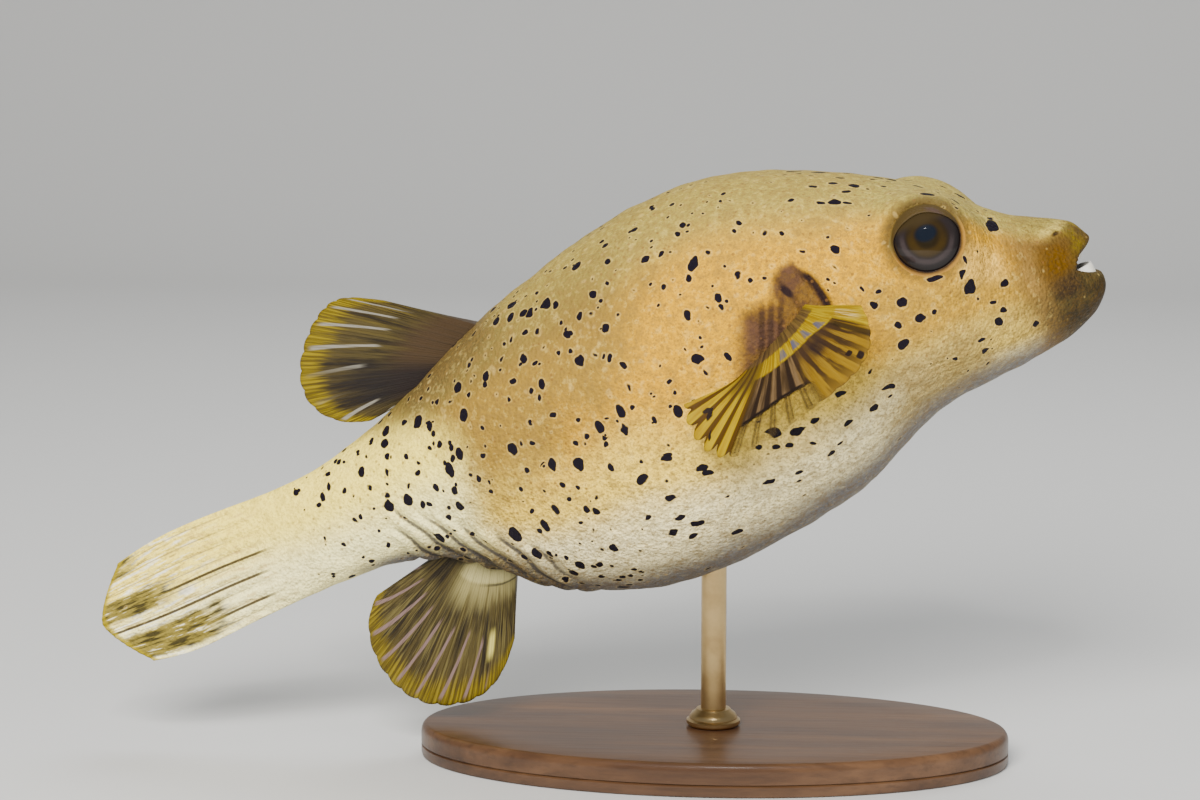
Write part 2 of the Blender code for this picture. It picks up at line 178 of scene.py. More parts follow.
def natural_spline(at, values):
    """A smooth curve through rows of values, as a function of an array of parameters."""
    at, values = np.asarray(at, float), np.asarray(values, float)
    count, step = len(at), np.diff(at)
    slope = np.diff(values, axis=0) / step[:, None]
    system, right = np.eye(count), np.zeros_like(values)
    for i in range(1, count - 1):
        system[i, i - 1 : i + 2] = step[i - 1], 2 * (step[i - 1] + step[i]), step[i]
        right[i] = 6 * (slope[i] - slope[i - 1])
    bend = np.linalg.solve(system, right)

    def curve(t):
        t = np.atleast_1d(np.asarray(t, float))
        i = np.clip(np.searchsorted(at, t) - 1, 0, count - 2)
        a, b, h = (at[i + 1] - t)[:, None], (t - at[i])[:, None], step[i][:, None]
        return (
            (bend[i] * a**3 + bend[i + 1] * b**3) / (6 * h)
            + (values[i] / h - bend[i] * h / 6) * a
            + (values[i + 1] / h - bend[i + 1] * h / 6) * b
        )

    return curve


def smooth(low, high, value):
    """0 up to low, 1 from high on, and smooth between; low may be the larger one."""
    share = np.clip((value - low) / (high - low), 0, 1)
    return share * share * (3 - 2 * share)


def bell(distance, width):
    """1 where the distance is 0, and down to almost 0 at twice the width."""
    return np.exp(-((distance / width) ** 2))


def waves(points, size, seed, count=9):
    """A smooth random field over points, between about -1 and 1; size is its grain in mm."""
    rng = np.random.default_rng(seed)
    total = np.zeros(points.shape[:-1])
    for _ in range(count):
        heading = rng.normal(size=3)
        heading /= np.linalg.norm(heading)
        pace = 2 * math.pi / (size * rng.uniform(0.7, 1.5))
        total += np.sin(points @ heading * pace + rng.uniform(0, 2 * math.pi))
    return total / math.sqrt(count)


def full_turn(count):
    """Angles of even steps once round a circle."""
    return np.linspace(0, 2 * math.pi, count, endpoint=False)


def place(points):
    """Carries points from the fish's frame in mm to their place over the stand in metres."""
    x, y, z = np.moveaxis(np.asarray(points, float), -1, 0)
    along, turn = x - ROD_STATION, (math.cos(PITCH), math.sin(PITCH))
    world = (along * turn[0] - z * turn[1], y, along * turn[1] + z * turn[0] + AXIS_HEIGHT)
    return np.stack(world, axis=-1) * 0.001


def add_object(name, data):
    obj = bpy.data.objects.new(name, data)
    bpy.context.scene.collection.objects.link(obj)
    return obj


def make_piece(name, points, faces, attributes=None, uv=None, angle=None):
    """A smooth mesh with its faces turned to point out; points in metres, sharp past angle in degrees."""
    mesh = bpy.data.meshes.new(name)
    mesh.from_pydata(points.tolist(), [], faces)
    if signed_volume(mesh) < 0:
        mesh.flip_normals()
    set_attributes(mesh, attributes or {})
    if uv is not None:
        lay_weave(mesh, uv)
    mesh.shade_smooth()
    if angle is not None:
        mesh.set_sharp_from_angle(angle=math.radians(angle))
    return add_object(name, mesh)


def set_attributes(mesh, attributes):
    """Gives every vertex of a mesh named numbers or named triples of numbers."""
    for name, values in attributes.items():
        kind, field = ("FLOAT", "value") if values.ndim == 1 else ("FLOAT_VECTOR", "vector")
        layer = mesh.attributes.new(name, kind, "POINT")
        layer.data.foreach_set(field, values.astype(np.float32).ravel())


def lay_weave(mesh, uv):
    """Gives a mesh the UV map "weave" from a pair of values for each vertex."""
    layer = mesh.uv_layers.new(name="weave")
    corner = np.empty(len(mesh.loops), dtype=np.int32)
    mesh.loops.foreach_get("vertex_index", corner)
    layer.data.foreach_set("uv", uv[corner].astype(np.float32).ravel())


def signed_volume(mesh):
    """Six times the volume inside a mesh; below 0 where its faces point in."""
    mesh.calc_loop_triangles()
    at = np.empty(len(mesh.vertices) * 3)
    mesh.vertices.foreach_get("co", at)
    at = at.reshape(-1, 3)
    corners = np.empty(len(mesh.loop_triangles) * 3, dtype=np.int32)
    mesh.loop_triangles.foreach_get("vertices", corners)
    a, b, c = (at[corners.reshape(-1, 3)[:, k]] for k in range(3))
    return np.einsum("ij,ij->i", a, np.cross(b, c)).sum()


def grid_faces(rows, columns, closed, start=0):
    """Quads over a grid of points; closed joins the last column to the first."""
    last = columns if closed else columns - 1
    i, k = np.meshgrid(np.arange(rows - 1), np.arange(last), indexing="ij")
    nxt = (k + 1) % columns
    quads = (i * columns + k, i * columns + nxt, (i + 1) * columns + nxt, (i + 1) * columns + k)
    corners = np.stack([q.ravel() for q in quads], axis=1) + start
    return [tuple(quad) for quad in corners.tolist()]


def sheet_faces(rows, columns):
    """Faces of two equal grids of points, front and back, joined round their rim."""
    count = rows * columns
    faces = grid_faces(rows, columns, closed=False)
    faces += [quad[::-1] for quad in grid_faces(rows, columns, closed=False, start=count)]
    rim = list(range(columns))
    rim += [r * columns + columns - 1 for r in range(1, rows)]
    rim += [(rows - 1) * columns + k for k in range(columns - 2, -1, -1)]
    rim += [r * columns for r in range(rows - 2, 0, -1)]
    return faces + [(b, a, a + count, b + count) for a, b in zip(rim, rim[1:] + rim[:1])]


def turned_faces(rows, turns):
    """Faces of a stack of rings, closed by one more point at each end."""
    count = rows * turns
    last = count - turns
    faces = grid_faces(rows, turns, closed=True)
    faces += [((k + 1) % turns, k, count) for k in range(turns)]
    return faces + [(last + k, last + (k + 1) % turns, count + 1) for k in range(turns)]


def grid_normals(points, closed):
    """Unit normals of a grid of points."""
    down = np.gradient(points, axis=0)
    if closed:
        across = np.roll(points, -1, axis=1) - np.roll(points, 1, axis=1)
    else:
        across = np.gradient(points, axis=1)
    normal = np.cross(across, down)
    return normal / np.maximum(np.linalg.norm(normal, axis=-1, keepdims=True), 1e-9)


def box_mm(node):
    """The low and the high corner of a node's box, in mm."""
    return [[value * 1000 for value in corner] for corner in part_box(node)]


def ride(piece, *nodes, slot):
    """Fixes a finished piece to the model, in place of the nodes named."""
    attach(piece, "root")
    if nodes:
        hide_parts(*nodes)


# ---------------------------------------------------------------- material building


class Wire:
    """A socket's value in a material, on which Python's operators build Math nodes."""

    def __init__(self, finish, socket):
        self.finish, self.socket = finish, socket

    def __add__(self, other):
        return self.finish.math("ADD", self, other)

    def __sub__(self, other):
        return self.finish.math("SUBTRACT", self, other)

    def __rsub__(self, other):
        return self.finish.math("SUBTRACT", other, self)

    def __mul__(self, other):
        return self.finish.math("MULTIPLY", self, other)

    def __pow__(self, other):
        return self.finish.math("POWER", self, other)

    __radd__ = __add__
    __rmul__ = __mul__

    def size(self):
        return self.finish.math("ABSOLUTE", self, 0)

    def least(self, other):
        return self.finish.math("MINIMUM", self, other)

    def most(self, other):
        return self.finish.math("MAXIMUM", self, other)

    def near(self, middle, reach):
        """1 at the middle value, down to 0 at reach from it."""
        return (self - middle).size().step(reach, reach * 0.25)

    def comb(self):
        """Distance to the nearest whole number."""
        return self.finish.math("PINGPONG", self, 0.5)

    def step(self, low, high):
        """0 up to low, 1 from high on, and smooth between; low may be the larger one."""
        ends = (low, high, 0, 1) if low < high else (high, low, 1, 0)
        keys = ("From Min", "From Max", "To Min", "To Max")
        return self.finish.add(
            "ShaderNodeMapRange",
            {"interpolation_type": "SMOOTHSTEP"},
            {"Value": self, **dict(zip(keys, ends))},
        )


class Finish:
    """A node material, built up node by node; colour is what its coats have come to so far."""

    def __init__(self, name):
        self.colour = None
        self.material = bpy.data.materials.new(name)
        self.material.use_nodes = True
        self.tree = self.material.node_tree
        self.tree.nodes.clear()

    def add(self, kind, settings=None, inputs=None, output=0):
        """Any node: its settings first (a ramp's stops as a list), then its sockets by name or number."""
        node = self.tree.nodes.new(kind)
        for key, value in (settings or {}).items():
            if key == "stops":
                self.set_stops(node.color_ramp, value)
            else:
                setattr(node, key, value)
        for key, value in (inputs or {}).items():
            self.plug(node.inputs[key], value)
        return Wire(self, node.outputs[output]) if node.outputs else None

    def set_stops(self, ramp, stops):
        while len(ramp.elements) < len(stops):
            ramp.elements.new(1.0)
        for element, (position, colour) in zip(ramp.elements, stops):
            element.position = position
            element.color = (*colour, 1)

    def plug(self, socket, value):
        """Links a wire to a socket, or sets the socket's own value."""
        if isinstance(value, Wire):
            self.tree.links.new(value.socket, socket)
        elif socket.type == "RGBA":
            socket.default_value = (*value, 1)
        else:
            socket.default_value = value

    def math(self, operation, a, b):
        return self.add("ShaderNodeMath", {"operation": operation}, {0: a, 1: b})

    def vector(self, operation, a, b, output="Vector"):
        return self.add("ShaderNodeVectorMath", {"operation": operation}, {0: a, 1: b}, output)

    def mix(self, factor, a, b):
        """Blends colour a to colour b."""
        return self.add("ShaderNodeMix", {"data_type": "RGBA"}, {0: factor, 6: a, 7: b}, output=2)

    def coat(self, cover, tint):
        """Lays a tint over the colour so far, where cover is above 0."""
        self.colour = self.mix(cover, self.colour, tint)

    def ramp(self, factor, *stops):
        return self.add("ShaderNodeValToRGB", {"stops": stops}, {"Fac": factor})

    def noise(self, at, scale, detail=3.0, roughness=0.55, output="Fac"):
        values = {"Vector": at, "Scale": scale, "Detail": detail, "Roughness": roughness}
        return self.add("ShaderNodeTexNoise", None, values, output)

    def cells(self, at, scale, output="Distance"):
        return self.add("ShaderNodeTexVoronoi", None, {"Vector": at, "Scale": scale}, output)

    def attribute(self, name, output="Fac"):
        return self.add("ShaderNodeAttribute", {"attribute_name": name}, None, output)

    def parts(self, vector):
        """The three numbers of a vector."""
        node = self.add("ShaderNodeSeparateXYZ", None, {0: vector}).socket.node
        return [Wire(self, out) for out in node.outputs]

    def object_place(self):
        return self.add("ShaderNodeTexCoord", None, None, "Object")

    def bump(self, height, distance, strength):
        inputs = {"Height": height, "Distance": distance, "Strength": strength}
        return self.add("ShaderNodeBump", None, inputs)

    def shine(self, **sockets):
        """The surface shader under the coats, and the output; returns the finished material."""
        values = {key.replace("_", " ").title().replace("Ior", "IOR"): v for key, v in sockets.items()}
        surface = self.add("ShaderNodeBsdfPrincipled", None, {"Base Color": self.colour, **values})
        self.add("ShaderNodeOutputMaterial", None, {"Surface": surface})
        return self.material


# ---------------------------------------------------------------- the skin


def skin_rows():
    """Sections of the body at the skin's spacing, from the tail's edge to the back of the mouth."""
    names = list(STATIONS)
    rows = np.array(list(STATIONS.values()), float)
    x, sweep_top, sweep_bottom, top, bottom, half_width, level, *_ = rows.T
    lines = ((x, half_width, level), (x + sweep_top, top), (x + sweep_bottom, bottom))
    spans = np.max([np.linalg.norm(np.diff(line), axis=0) for line in lines], axis=0)
    along = np.concatenate([[0], np.cumsum(spans)])
    curve = natural_spline(along, rows)
    stops, step = [0.0], None
    for name, start, span in zip(names, along, spans):
        step = SKIN_STEPS.get(name, step)
        count = max(1, math.ceil(span / step))
        stops += [start + span * (k + 1) / count for k in range(count)]
    mouth_start = along[names.index("lip rim")]
    return curve(stops), np.array(stops) - mouth_start


def section_grid(rows, angles):
    """Points of every section at every angle round it; 0 is the left flank, a quarter turn the top."""
    x, sweep_top, sweep_bottom, top, bottom, half_width, level, upper, lower = rows.T[:, :, None]
    across, up = np.cos(angles)[None, :], np.sin(angles)[None, :]
    over = up >= 0
    power = np.where(over, 2 / upper, 2 / lower)
    reach = np.where(over, top - level, bottom - level)
    sweep = np.where(over, sweep_top, sweep_bottom)
    rise = np.abs(up) ** power
    points = np.stack(
        [
            x + sweep * np.abs(up) ** 1.4,
            np.sign(across) * half_width * np.abs(across) ** power,
            level + reach * rise,
        ],
        axis=-1,
    )
    return points, np.where(over, rise, -rise)


def from_eye(points):
    """Height over the nearer eye's widest plane, distance from its axis, the axis, and its side's flip."""
    side = np.where(points[..., 1] >= 0, 1.0, -1.0)
    flip = np.stack([np.ones_like(side), side, np.ones_like(side)], axis=-1)
    axis = EYE_AXIS * flip
    offset = points - EYE_CENTRE * flip
    height = np.sum(offset * axis, axis=-1)
    across = np.linalg.norm(offset - axis * height[..., None], axis=-1)
    return height, across, axis, flip


def shape_orbits(points):
    """Bends the head up into brows and flush round each eye, and sinks a bowl under the eye."""
    height, across, axis, flip = from_eye(points)
    brow = BROW_LIFT * bell(np.linalg.norm(points - BROW * flip, axis=-1), BROW_SPREAD)
    share = smooth(ORBIT_REACH, EYE_RADIUS, across)
    bowl = (SOCKET_DEPTH + ORBIT_RIM) * smooth(EYE_RADIUS - 0.4, EYE_RADIUS - 2.6, across)
    shifted = points + axis * (share * (ORBIT_RIM - height) - bowl * (height > -12))[..., None]
    shifted[..., 2] += brow
    return shifted


def build_skin():
    """The whole skin from tail to lips as one closed mesh, with the measures that its finish reads."""
    rows, past_lips = skin_rows()
    angles = full_turn(SKIN_AROUND)
    points, rise = section_grid(rows, angles)
    points = shape_orbits(points)
    past_lips = np.repeat(past_lips[:, None], SKIN_AROUND, axis=1)
    normals = grid_normals(points, closed=True)
    outward = np.sign(np.sum(normals[len(rows) // 2] * (points[len(rows) // 2] - [0, 0, 4])))
    normals = normals * outward
    points = points + normals * relief(points, rise, past_lips, rows, angles)[..., None]
    count = len(rows)
    faces = grid_faces(count, SKIN_AROUND, closed=True)
    half = SKIN_AROUND // 4
    for row in (0, count - 1):
        # each end is closed by strips from its left half to its right half
        start = row * SKIN_AROUND
        for k in range(-half, half):
            a, b = start + k % SKIN_AROUND, start + (k + 1) % SKIN_AROUND
            c = start + (2 * half - k - 1) % SKIN_AROUND
            d = start + (2 * half - k) % SKIN_AROUND
            corners = list(dict.fromkeys((a, b, c, d)))
            faces.append(tuple(corners if row else corners[::-1]))
    flat = points.reshape(-1, 3)
    share = (points[..., 2] - rows[:, 4][:, None]) / (rows[:, 3] - rows[:, 4])[:, None]
    _, across, _, _ = from_eye(flat)
    attributes = {
        "fish": flat / 100,
        "rise": rise.ravel(),
        "ray": np.clip(share, 0, 1).ravel(),
        "tail": np.stack([points[..., 0] / 10, share, np.zeros_like(share)], axis=-1).reshape(-1, 3),
        "rim": tail_rim(points, rows).ravel() / 10,
        "eyeward": across / 10,
        "mouth": past_lips.ravel() / 10,
        "gill": gill_distance(flat) / 10,
        "folds": vent_folds(flat),
    }
    return make_piece("spotted_skin", place(flat), faces, attributes)


def tail_rim(points, rows):
    """Distance in mm from the tail's rear edge along the fish."""
    _, sweep_top, sweep_bottom, top, bottom, *_ = rows[0]
    z = points[..., 2]
    bow = np.where(z > 0, sweep_top * np.abs(z / top) ** 1.4, sweep_bottom * np.abs(z / bottom) ** 1.4)
    return points[..., 0] - bow


def gill_distance(points):
    """How far points lie in front of the gill slit, in mm."""
    line = natural_spline(*zip(*((z, (x,)) for x, z in GILL_SLIT)))
    low, high = GILL_SLIT[0][1], GILL_SLIT[-1][1]
    slit = line(np.clip(points[..., 2].ravel(), low - 2, high + 1))[:, 0]
    return (points[..., 0] - slit.reshape(points.shape[:-1])) * 0.9


def vent_folds(points):
    """Slanting folds of skin over the anal fin: 1 on a crest, -1 in a valley and 0 elsewhere."""
    x, z = points[..., 0], points[..., 2]
    top = 9 - 0.62 * (x - 77)
    share = smooth(74, 80, x) * smooth(124, 108, x) * smooth(top, top - 7, z)
    return share * np.sin((x * 0.86 + z * 0.5) * 1.6 + 1.5 * waves(points, 14, SEED + 3))


def relief(points, rise, past_lips, rows, angles):
    """How far the skin stands out from the smooth body, in mm."""
    x, y, z = points[..., 0], points[..., 1], points[..., 2]
    _, across, _, _ = from_eye(points)
    body = smooth(30, 70, x) * smooth(ORBIT_RIM + 8, 14, across) * smooth(0, -3, past_lips)
    height = 0.22 * waves(points, 19, SEED) * body + 0.09 * waves(points, 6, SEED + 1) * body

    # the gill slit with a raised skin edge, the fin's fleshy root behind it and folds round the root
    gill = gill_distance(points)
    flank = (np.abs(y) > 20) * smooth(26, 23.5, z) * smooth(8, 11, z)
    height += flank * (-1.4 * bell(gill, 0.7) + 0.5 * bell(gill - 1.8, 1.2))
    base = np.hypot((x - 182) / 9, (z - 18) / 10)
    height += 0.9 * smooth(1.15, 0.3, base) * smooth(0, -1.5, gill) * (np.abs(y) > 20)
    for fold in ROOT_FOLDS:
        valley = bell(x - z * 0.38 - fold, 0.65) - 0.6 * bell(x - z * 0.38 - fold + 1.2, 0.6)
        height -= 0.5 * valley * smooth(8, 12, z) * smooth(23, 19, z) * (np.abs(y) > 20)

    # the nostrils: a short raised rim split by a slit
    nose = points - NOSTRIL * np.stack([np.ones_like(y), np.sign(y), np.ones_like(y)], axis=-1)
    spread = np.sqrt((nose[..., 0] / 1.5) ** 2 + (nose[..., 2] / 0.75) ** 2 + (nose[..., 1] / 2.5) ** 2)
    height += 0.9 * bell(spread, 1.25) - 1.3 * bell(spread, 0.55)

    # pleats along the lower front belly, and slanting folds over the anal fin
    pleats = smooth(140, 170, x) * smooth(228, 205, x) * smooth(-0.35, -0.75, rise)
    height += 0.13 * pleats * np.sin(angles[None, :] * 88 + 1.6 * waves(points, 26, SEED + 2))
    height += 0.45 * vent_folds(points)

    # wrinkles across the lips, strongest near the corners of the mouth
    lips = smooth(-7, -3, past_lips) * smooth(2.0, 0.5, past_lips)
    corner = 0.35 + 0.65 * smooth(0.75, 0.2, np.abs(rise))
    height += 0.13 * lips * corner * np.sin(angles[None, :] * 54 + 0.8 * waves(points, 5, SEED + 4))

    # fin rays on the tail, which split towards its edge
    tail = smooth(TAIL_RAY_START, 38, x)
    share = (z - rows[:, 4][:, None]) / (rows[:, 3] - rows[:, 4])[:, None]
    ridge = np.cos(share * TAIL_RAYS * 2 * math.pi)
    split = np.cos(share * TAIL_RAYS * 4 * math.pi)
    forked = smooth(30, 14, x)
    height += tail * 0.2 * (ridge * (1 - 0.6 * forked) + split * 0.6 * forked)
    return height


# ---------------------------------------------------------------- the skin's colours
#
# In these finishes x, y and z are places in the fish's own frame, in hundreds of mm, and rise runs from -1
# on the keel over 0 on the widest line to 1 on the back. The distances eyeward, rim, mouth and gill are in
# tens of mm. Covers run from 0, bare, to 1, fully painted.

SAND = (0.56, 0.275, 0.0)
DARK_SAND = (0.27, 0.16, 0.022)
KHAKI = (0.31, 0.235, 0.045)
SADDLE = (0.10, 0.068, 0.022)
CREAM = (0.80, 0.55, 0.075)
BELLY = (0.90, 0.78, 0.42)
# Painted shade: grey along the underside, a paler grey along the keel.
UNDERSIDE_SHADE = (0.165, 0.165, 0.17)
KEEL = (0.29, 0.275, 0.235)
# Painted shade: near-black at the anal fin's base, by the vent.
ANAL_BASE_SHADE = (0.045, 0.039, 0.036)
THROAT = (0.33, 0.235, 0.07)
CHEEK = (0.40, 0.225, 0.018)
STALK = (0.98, 0.78, 0.13)
STALK_BELOW = (1.0, 0.91, 0.42)
SPOT_BLACK = (0.007, 0.005, 0.009)

# Spots that stand out on the right side: place along and up the fish, half length, width over length, and
# the turn of the length from the fish's own, in degrees.
NAMED_SPOTS = [
    (216.5, 12.0, 1.8, 0.32, -20),
    (224.5, 13.5, 0.9, 0.4, 75),
    (222.5, 10.5, 1.0, 0.65, 55),
    (223.0, 7.0, 1.6, 0.8, 50),
    (232.5, 17.0, 1.5, 0.85, -50),
    (230.5, 4.5, 0.9, 0.9, 0),
    (228.5, -1.0, 0.7, 0.9, 0),
    (226.5, -3.0, 1.0, 0.9, 0),
    (227.0, 2.0, 0.55, 0.9, 0),
    (234.0, -7.0, 0.8, 0.9, 0),
    (221.5, -5.0, 0.85, 0.7, 10),
    (221.5, -8.0, 0.85, 0.6, 10),
    (210.5, 5.0, 1.35, 0.8, -5),
    (214.0, 5.0, 0.7, 0.9, 0),
    (205.0, 1.0, 1.5, 0.75, 30),
    (208.0, 10.0, 1.2, 0.85, -40),
    (204.0, 14.5, 0.7, 0.9, 0),
    (202.0, 12.0, 1.0, 0.8, -60),
    (205.5, 5.5, 0.9, 0.9, 0),
    (214.5, -6.5, 0.65, 0.9, 0),
    (167.0, 34.0, 1.6, 0.65, 65),
    (161.0, 14.5, 1.4, 0.95, 0),
    (168.0, 12.5, 1.5, 0.5, -75),
    (171.0, -7.0, 1.9, 0.55, -25),
    (176.0, -9.0, 1.6, 0.6, -5),
    (170.6, -10.6, 0.9, 0.8, 0),
    (173.3, -11.4, 0.8, 0.8, 0),
    (178.4, -13.0, 0.8, 0.5, -15),
    (198.5, -7.0, 1.4, 0.5, 8),
    (154.0, -11.0, 1.4, 0.7, -20),
    (166.0, -18.0, 1.4, 0.45, 0),
]


def named_spot(f, fish, x, z, half_length, narrowing, turn):
    """Distance past the edge of one oval spot, in mm; below 0 inside it."""
    cos, sin = math.cos(math.radians(turn)), math.sin(math.radians(turn))
    along = f.vector("DOT_PRODUCT", fish, (cos, 0, sin), "Value") * 100 - (x * cos + z * sin)
    over = f.vector("DOT_PRODUCT", fish, (-sin, 0, cos), "Value") * 100 - (z * cos - x * sin)
    over = over * (1 / narrowing)
    return ((along * along + over * over) ** 0.5 - half_length) * ((1 + narrowing) / 2)


def scattered_spots(f, at, spacing, reach):
    """Distance past the edge of the nearest spot, in mm, where the skin cuts balls strewn in space."""
    chance, _, _ = f.parts(f.cells(at, 100 / spacing, "Color"))
    return f.cells(at, 100 / spacing) * spacing - (chance * 0.85 + 0.45) * reach


def spot_edges(f, fish, x, y, rise):
    """Distance past the edge of the nearest dark spot, in mm."""
    wobble = f.vector("SUBTRACT", f.noise(fish, 32, 1, 0.5, "Color"), (0.5, 0.5, 0.5))
    at = f.vector("ADD", fish, f.vector("MULTIPLY", wobble, (0.016, 0.016, 0.022)))
    body = x.step(0.50, 0.60) * x.step(2.36, 2.28)
    low = rise.step(-0.12, -0.25) * x.step(1.25, 1.4)
    crown = rise.step(0.72, 0.88) * x.step(1.8, 1.95)
    cheek = x.step(1.98, 2.03) * y.step(0.02, -0.02) * rise.step(0.86, 0.76)
    trunk = body * (1 - cheek) * (1 - x.near(1.80, 0.34) * 0.35) - (1 - body) * 0.5
    flank = trunk * (1 - low) * (1 - crown) * (1 - x.step(1.0, 0.75) * 0.15)
    tall = f.vector("MULTIPLY", at, (1.0, 1.0, 0.72))
    edge = scattered_spots(f, tall, 4.4, flank * 1.12)
    small = flank * (x.step(1.05, 0.85) * 0.22 + 0.62) + body * cheek * 0.30
    edge = edge.least(scattered_spots(f, at, 3.3, small))
    long = f.vector("MULTIPLY", at, (0.58, 1.0, 1.0))
    belly = low * (1 - rise.step(-0.5, -0.9) * 0.45)
    edge = edge.least(scattered_spots(f, long, 3.9, belly * trunk + crown * body * 1.05))
    for spot in NAMED_SPOTS:
        edge = edge.least(named_spot(f, at, *spot) + y.step(-0.02, 0.02) * 9)
    return edge + (f.noise(fish, 75, 1) - 0.5) * 0.35


def coat_body(f, x, rise, cloud):
    """Golden flank, tan to the rear, khaki back, brown saddle at the dorsal fin, cream belly and stalk,
    with painted shade along the underside and by the vent and a painted highlight in front of the eye.
    """
    drift = (cloud - 0.5) * 0.4
    rear = (x - rise * 0.40 + drift).step(1.38, 1.16)
    f.colour = f.mix(rear, SAND, DARK_SAND)
    f.coat((x + drift * 0.3).step(1.93, 2.06) * rise.step(0.40, 0.10), CHEEK)
    head = (x + drift * 0.5).step(1.86, 2.0) * 0.22
    low = (rise + drift + head).step(0.14, -0.30)
    f.coat(low * (1 - rear * 0.30), CREAM)
    pale = (rise + drift * 0.8).step(-0.28, -0.62) * (x + drift * 0.5).step(0.95, 1.08)
    pale = pale * (1 - (x + drift * 0.3).step(2.04, 2.18) * (rise + drift * 0.3).step(-0.80, -0.58))
    f.coat(pale, BELLY)
    throat = (x + drift * 0.4).step(1.88, 2.02) * (rise + drift * 0.5).step(-0.12, -0.42)
    throat = throat * (1 - (x + drift * 0.3).near(2.28, 0.10) * 0.45)
    f.coat(throat * 0.9, THROAT)
    f.coat((rise + drift * 0.6).step(0.56, 0.90), KHAKI)
    shade = (x + drift).near(1.30, 0.32) * (rise + drift * 0.3).near(0.76, 0.22)
    f.coat(shade * 0.35, SADDLE)
    # Painted highlight: a pale gold patch in front of the eye.
    glow = (x + drift * 0.2).near(2.265, 0.075) * (rise + drift * 0.4).near(0.32, 0.3)
    f.coat(glow * 0.55, (0.90, 0.56, 0.11))
    saddle = (x + drift * 0.4).near(1.01, 0.26) * (rise + drift * 0.4).step(0.50, 0.92)
    f.coat(saddle, SADDLE)
    stalk = (x + (rise * rise * rise).most(0) * 0.22 + drift * 0.4).step(1.07, 0.93)
    cream = f.mix((rise + drift).step(0.45, -0.45), STALK, STALK_BELOW)
    f.coat(stalk * (1 - saddle), cream)
    # Painted shade: a grey band along the underside, paler along the keel itself.
    keel = f.mix((rise + drift * 0.2).step(-0.94, -1.0), UNDERSIDE_SHADE, KEEL)
    f.coat((rise + drift * 0.5).step(-0.68, -0.93) * x.step(0.58, 0.74), keel)
    # Painted shade: near-black at the anal fin's base, by the vent.
    vent = (x + drift * 0.2).near(0.97, 0.26) * (rise + drift * 0.3).step(-0.48, -0.80)
    f.coat(vent * 0.9, ANAL_BASE_SHADE)


def coat_head(f, x, z, rise, cloud, blotch):
    """Yellow-khaki crown, brown snout with an amber patch, dark olive jaw and yellow upper lip, with
    painted shade at the mouth's corner and in the nostril's slit.
    """
    drift = (cloud - 0.5) * 0.3
    crown = (x + drift * 0.3).step(2.02, 2.16) * rise.step(0.70, 0.9)
    f.coat(crown * 0.85, (0.339, 0.277, 0.058))
    snout = (x + drift * 0.2).step(2.29, 2.37) * rise.step(0.9, 0.6)
    brown = f.mix(blotch.step(0.35, 0.65), (0.108, 0.058, 0.017), (0.216, 0.123, 0.032))
    f.coat(snout * 0.9, brown)
    front = (x + drift * 0.2).step(2.37, 2.43) * (z + drift * 0.1).step(0.11, 0.08)
    f.coat(front * 0.85, (0.065, 0.034, 0.008))
    amber = (x + drift * 0.15).near(2.43, 0.06) * (z + drift * 0.15).near(0.040, 0.06)
    f.coat(amber * 0.85, (0.096, 0.042, 0.0))
    bridge = x.step(2.32, 2.38) * rise.step(0.55, 0.85) * x.step(2.47, 2.42)
    f.coat(bridge * 0.85, (0.277, 0.208, 0.039))
    jaw = (x + drift * 0.2).step(2.32, 2.43) * (z + drift * 0.1 - x * 0.3 + 0.72).step(0.01, -0.05)
    olive = f.mix(blotch.step(0.4, 0.7), (0.028, 0.02, 0.008), (0.065, 0.048, 0.015))
    f.coat(jaw, olive)
    # Painted shade in the corner of the mouth.
    corner = x.near(2.44, 0.05) * z.near(-0.025, 0.035)
    f.coat(corner * 0.8, (0.023, 0.014, 0.009))
    lip = x.step(2.455, 2.495) * z.step(0.0, 0.03)
    yellow = f.mix(blotch.step(0.4, 0.62), (0.069, 0.042, 0.005), (0.169, 0.119, 0.002))
    f.coat(lip * 0.9, yellow)
    ridge = x.near(2.45, 0.05) * z.near(0.108, 0.012)
    f.coat(ridge * 0.8, (0.477, 0.362, 0.077))
    # Painted shade: the nostril's slit near-black.
    slit = x.near(2.452, 0.013) * z.near(0.096, 0.006)
    f.coat(slit, (0.009, 0.006, 0.005))


def coat_tail(f, x, ray, blotch):
    """Cream rays with long dark lines between them, white and olive blotches and a yellow edge."""
    streaks = f.noise(f.vector("MULTIPLY", f.attribute("tail", "Vector"), (1.5, 30, 1)), 1.0, 3)
    tail = x.step(0.52, 0.40)
    f.coat(tail * streaks.step(0.5, 0.75) * 0.7, (0.55, 0.36, 0.12))
    outer = (x + streaks * 0.1).step(0.42, 0.22)
    f.coat(outer * streaks.step(0.50, 0.36) * 0.85, (0.95, 0.92, 0.78))
    f.coat(outer * streaks.step(0.55, 0.68) * 0.8, (0.26, 0.19, 0.03))
    faint = (ray * TAIL_RAYS + 0.4).comb().step(0.07, 0.03) * x.step(0.42, 0.30)
    f.coat(faint * 0.6, (0.22, 0.15, 0.06))
    for share, start in TAIL_LINES:
        line = (ray - share).size().step(0.016, 0.008) * x.step(start, start - 0.06)
        f.coat(line * 0.95, (0.035, 0.022, 0.012))
    olive = f.mix(streaks.step(0.36, 0.54), (0.045, 0.036, 0.012), (0.22, 0.17, 0.032))
    olive = f.mix(streaks.step(0.58, 0.66), olive, (0.75, 0.68, 0.42))
    for share, reach, half in TAIL_BLOTCHES:
        blot = (x + blotch * 0.10 + streaks * 0.16 - 0.13).step(reach, reach - 0.09)
        blot = blot * (ray + (blotch - 0.5) * 0.1).near(share, half).step(0.1, 0.6)
        f.coat(blot, olive)
    edge = (f.attribute("rim") + (blotch - 0.5) * 0.1).step(0.16, 0.06)
    f.coat(edge * 0.85, (0.30, 0.225, 0.004))


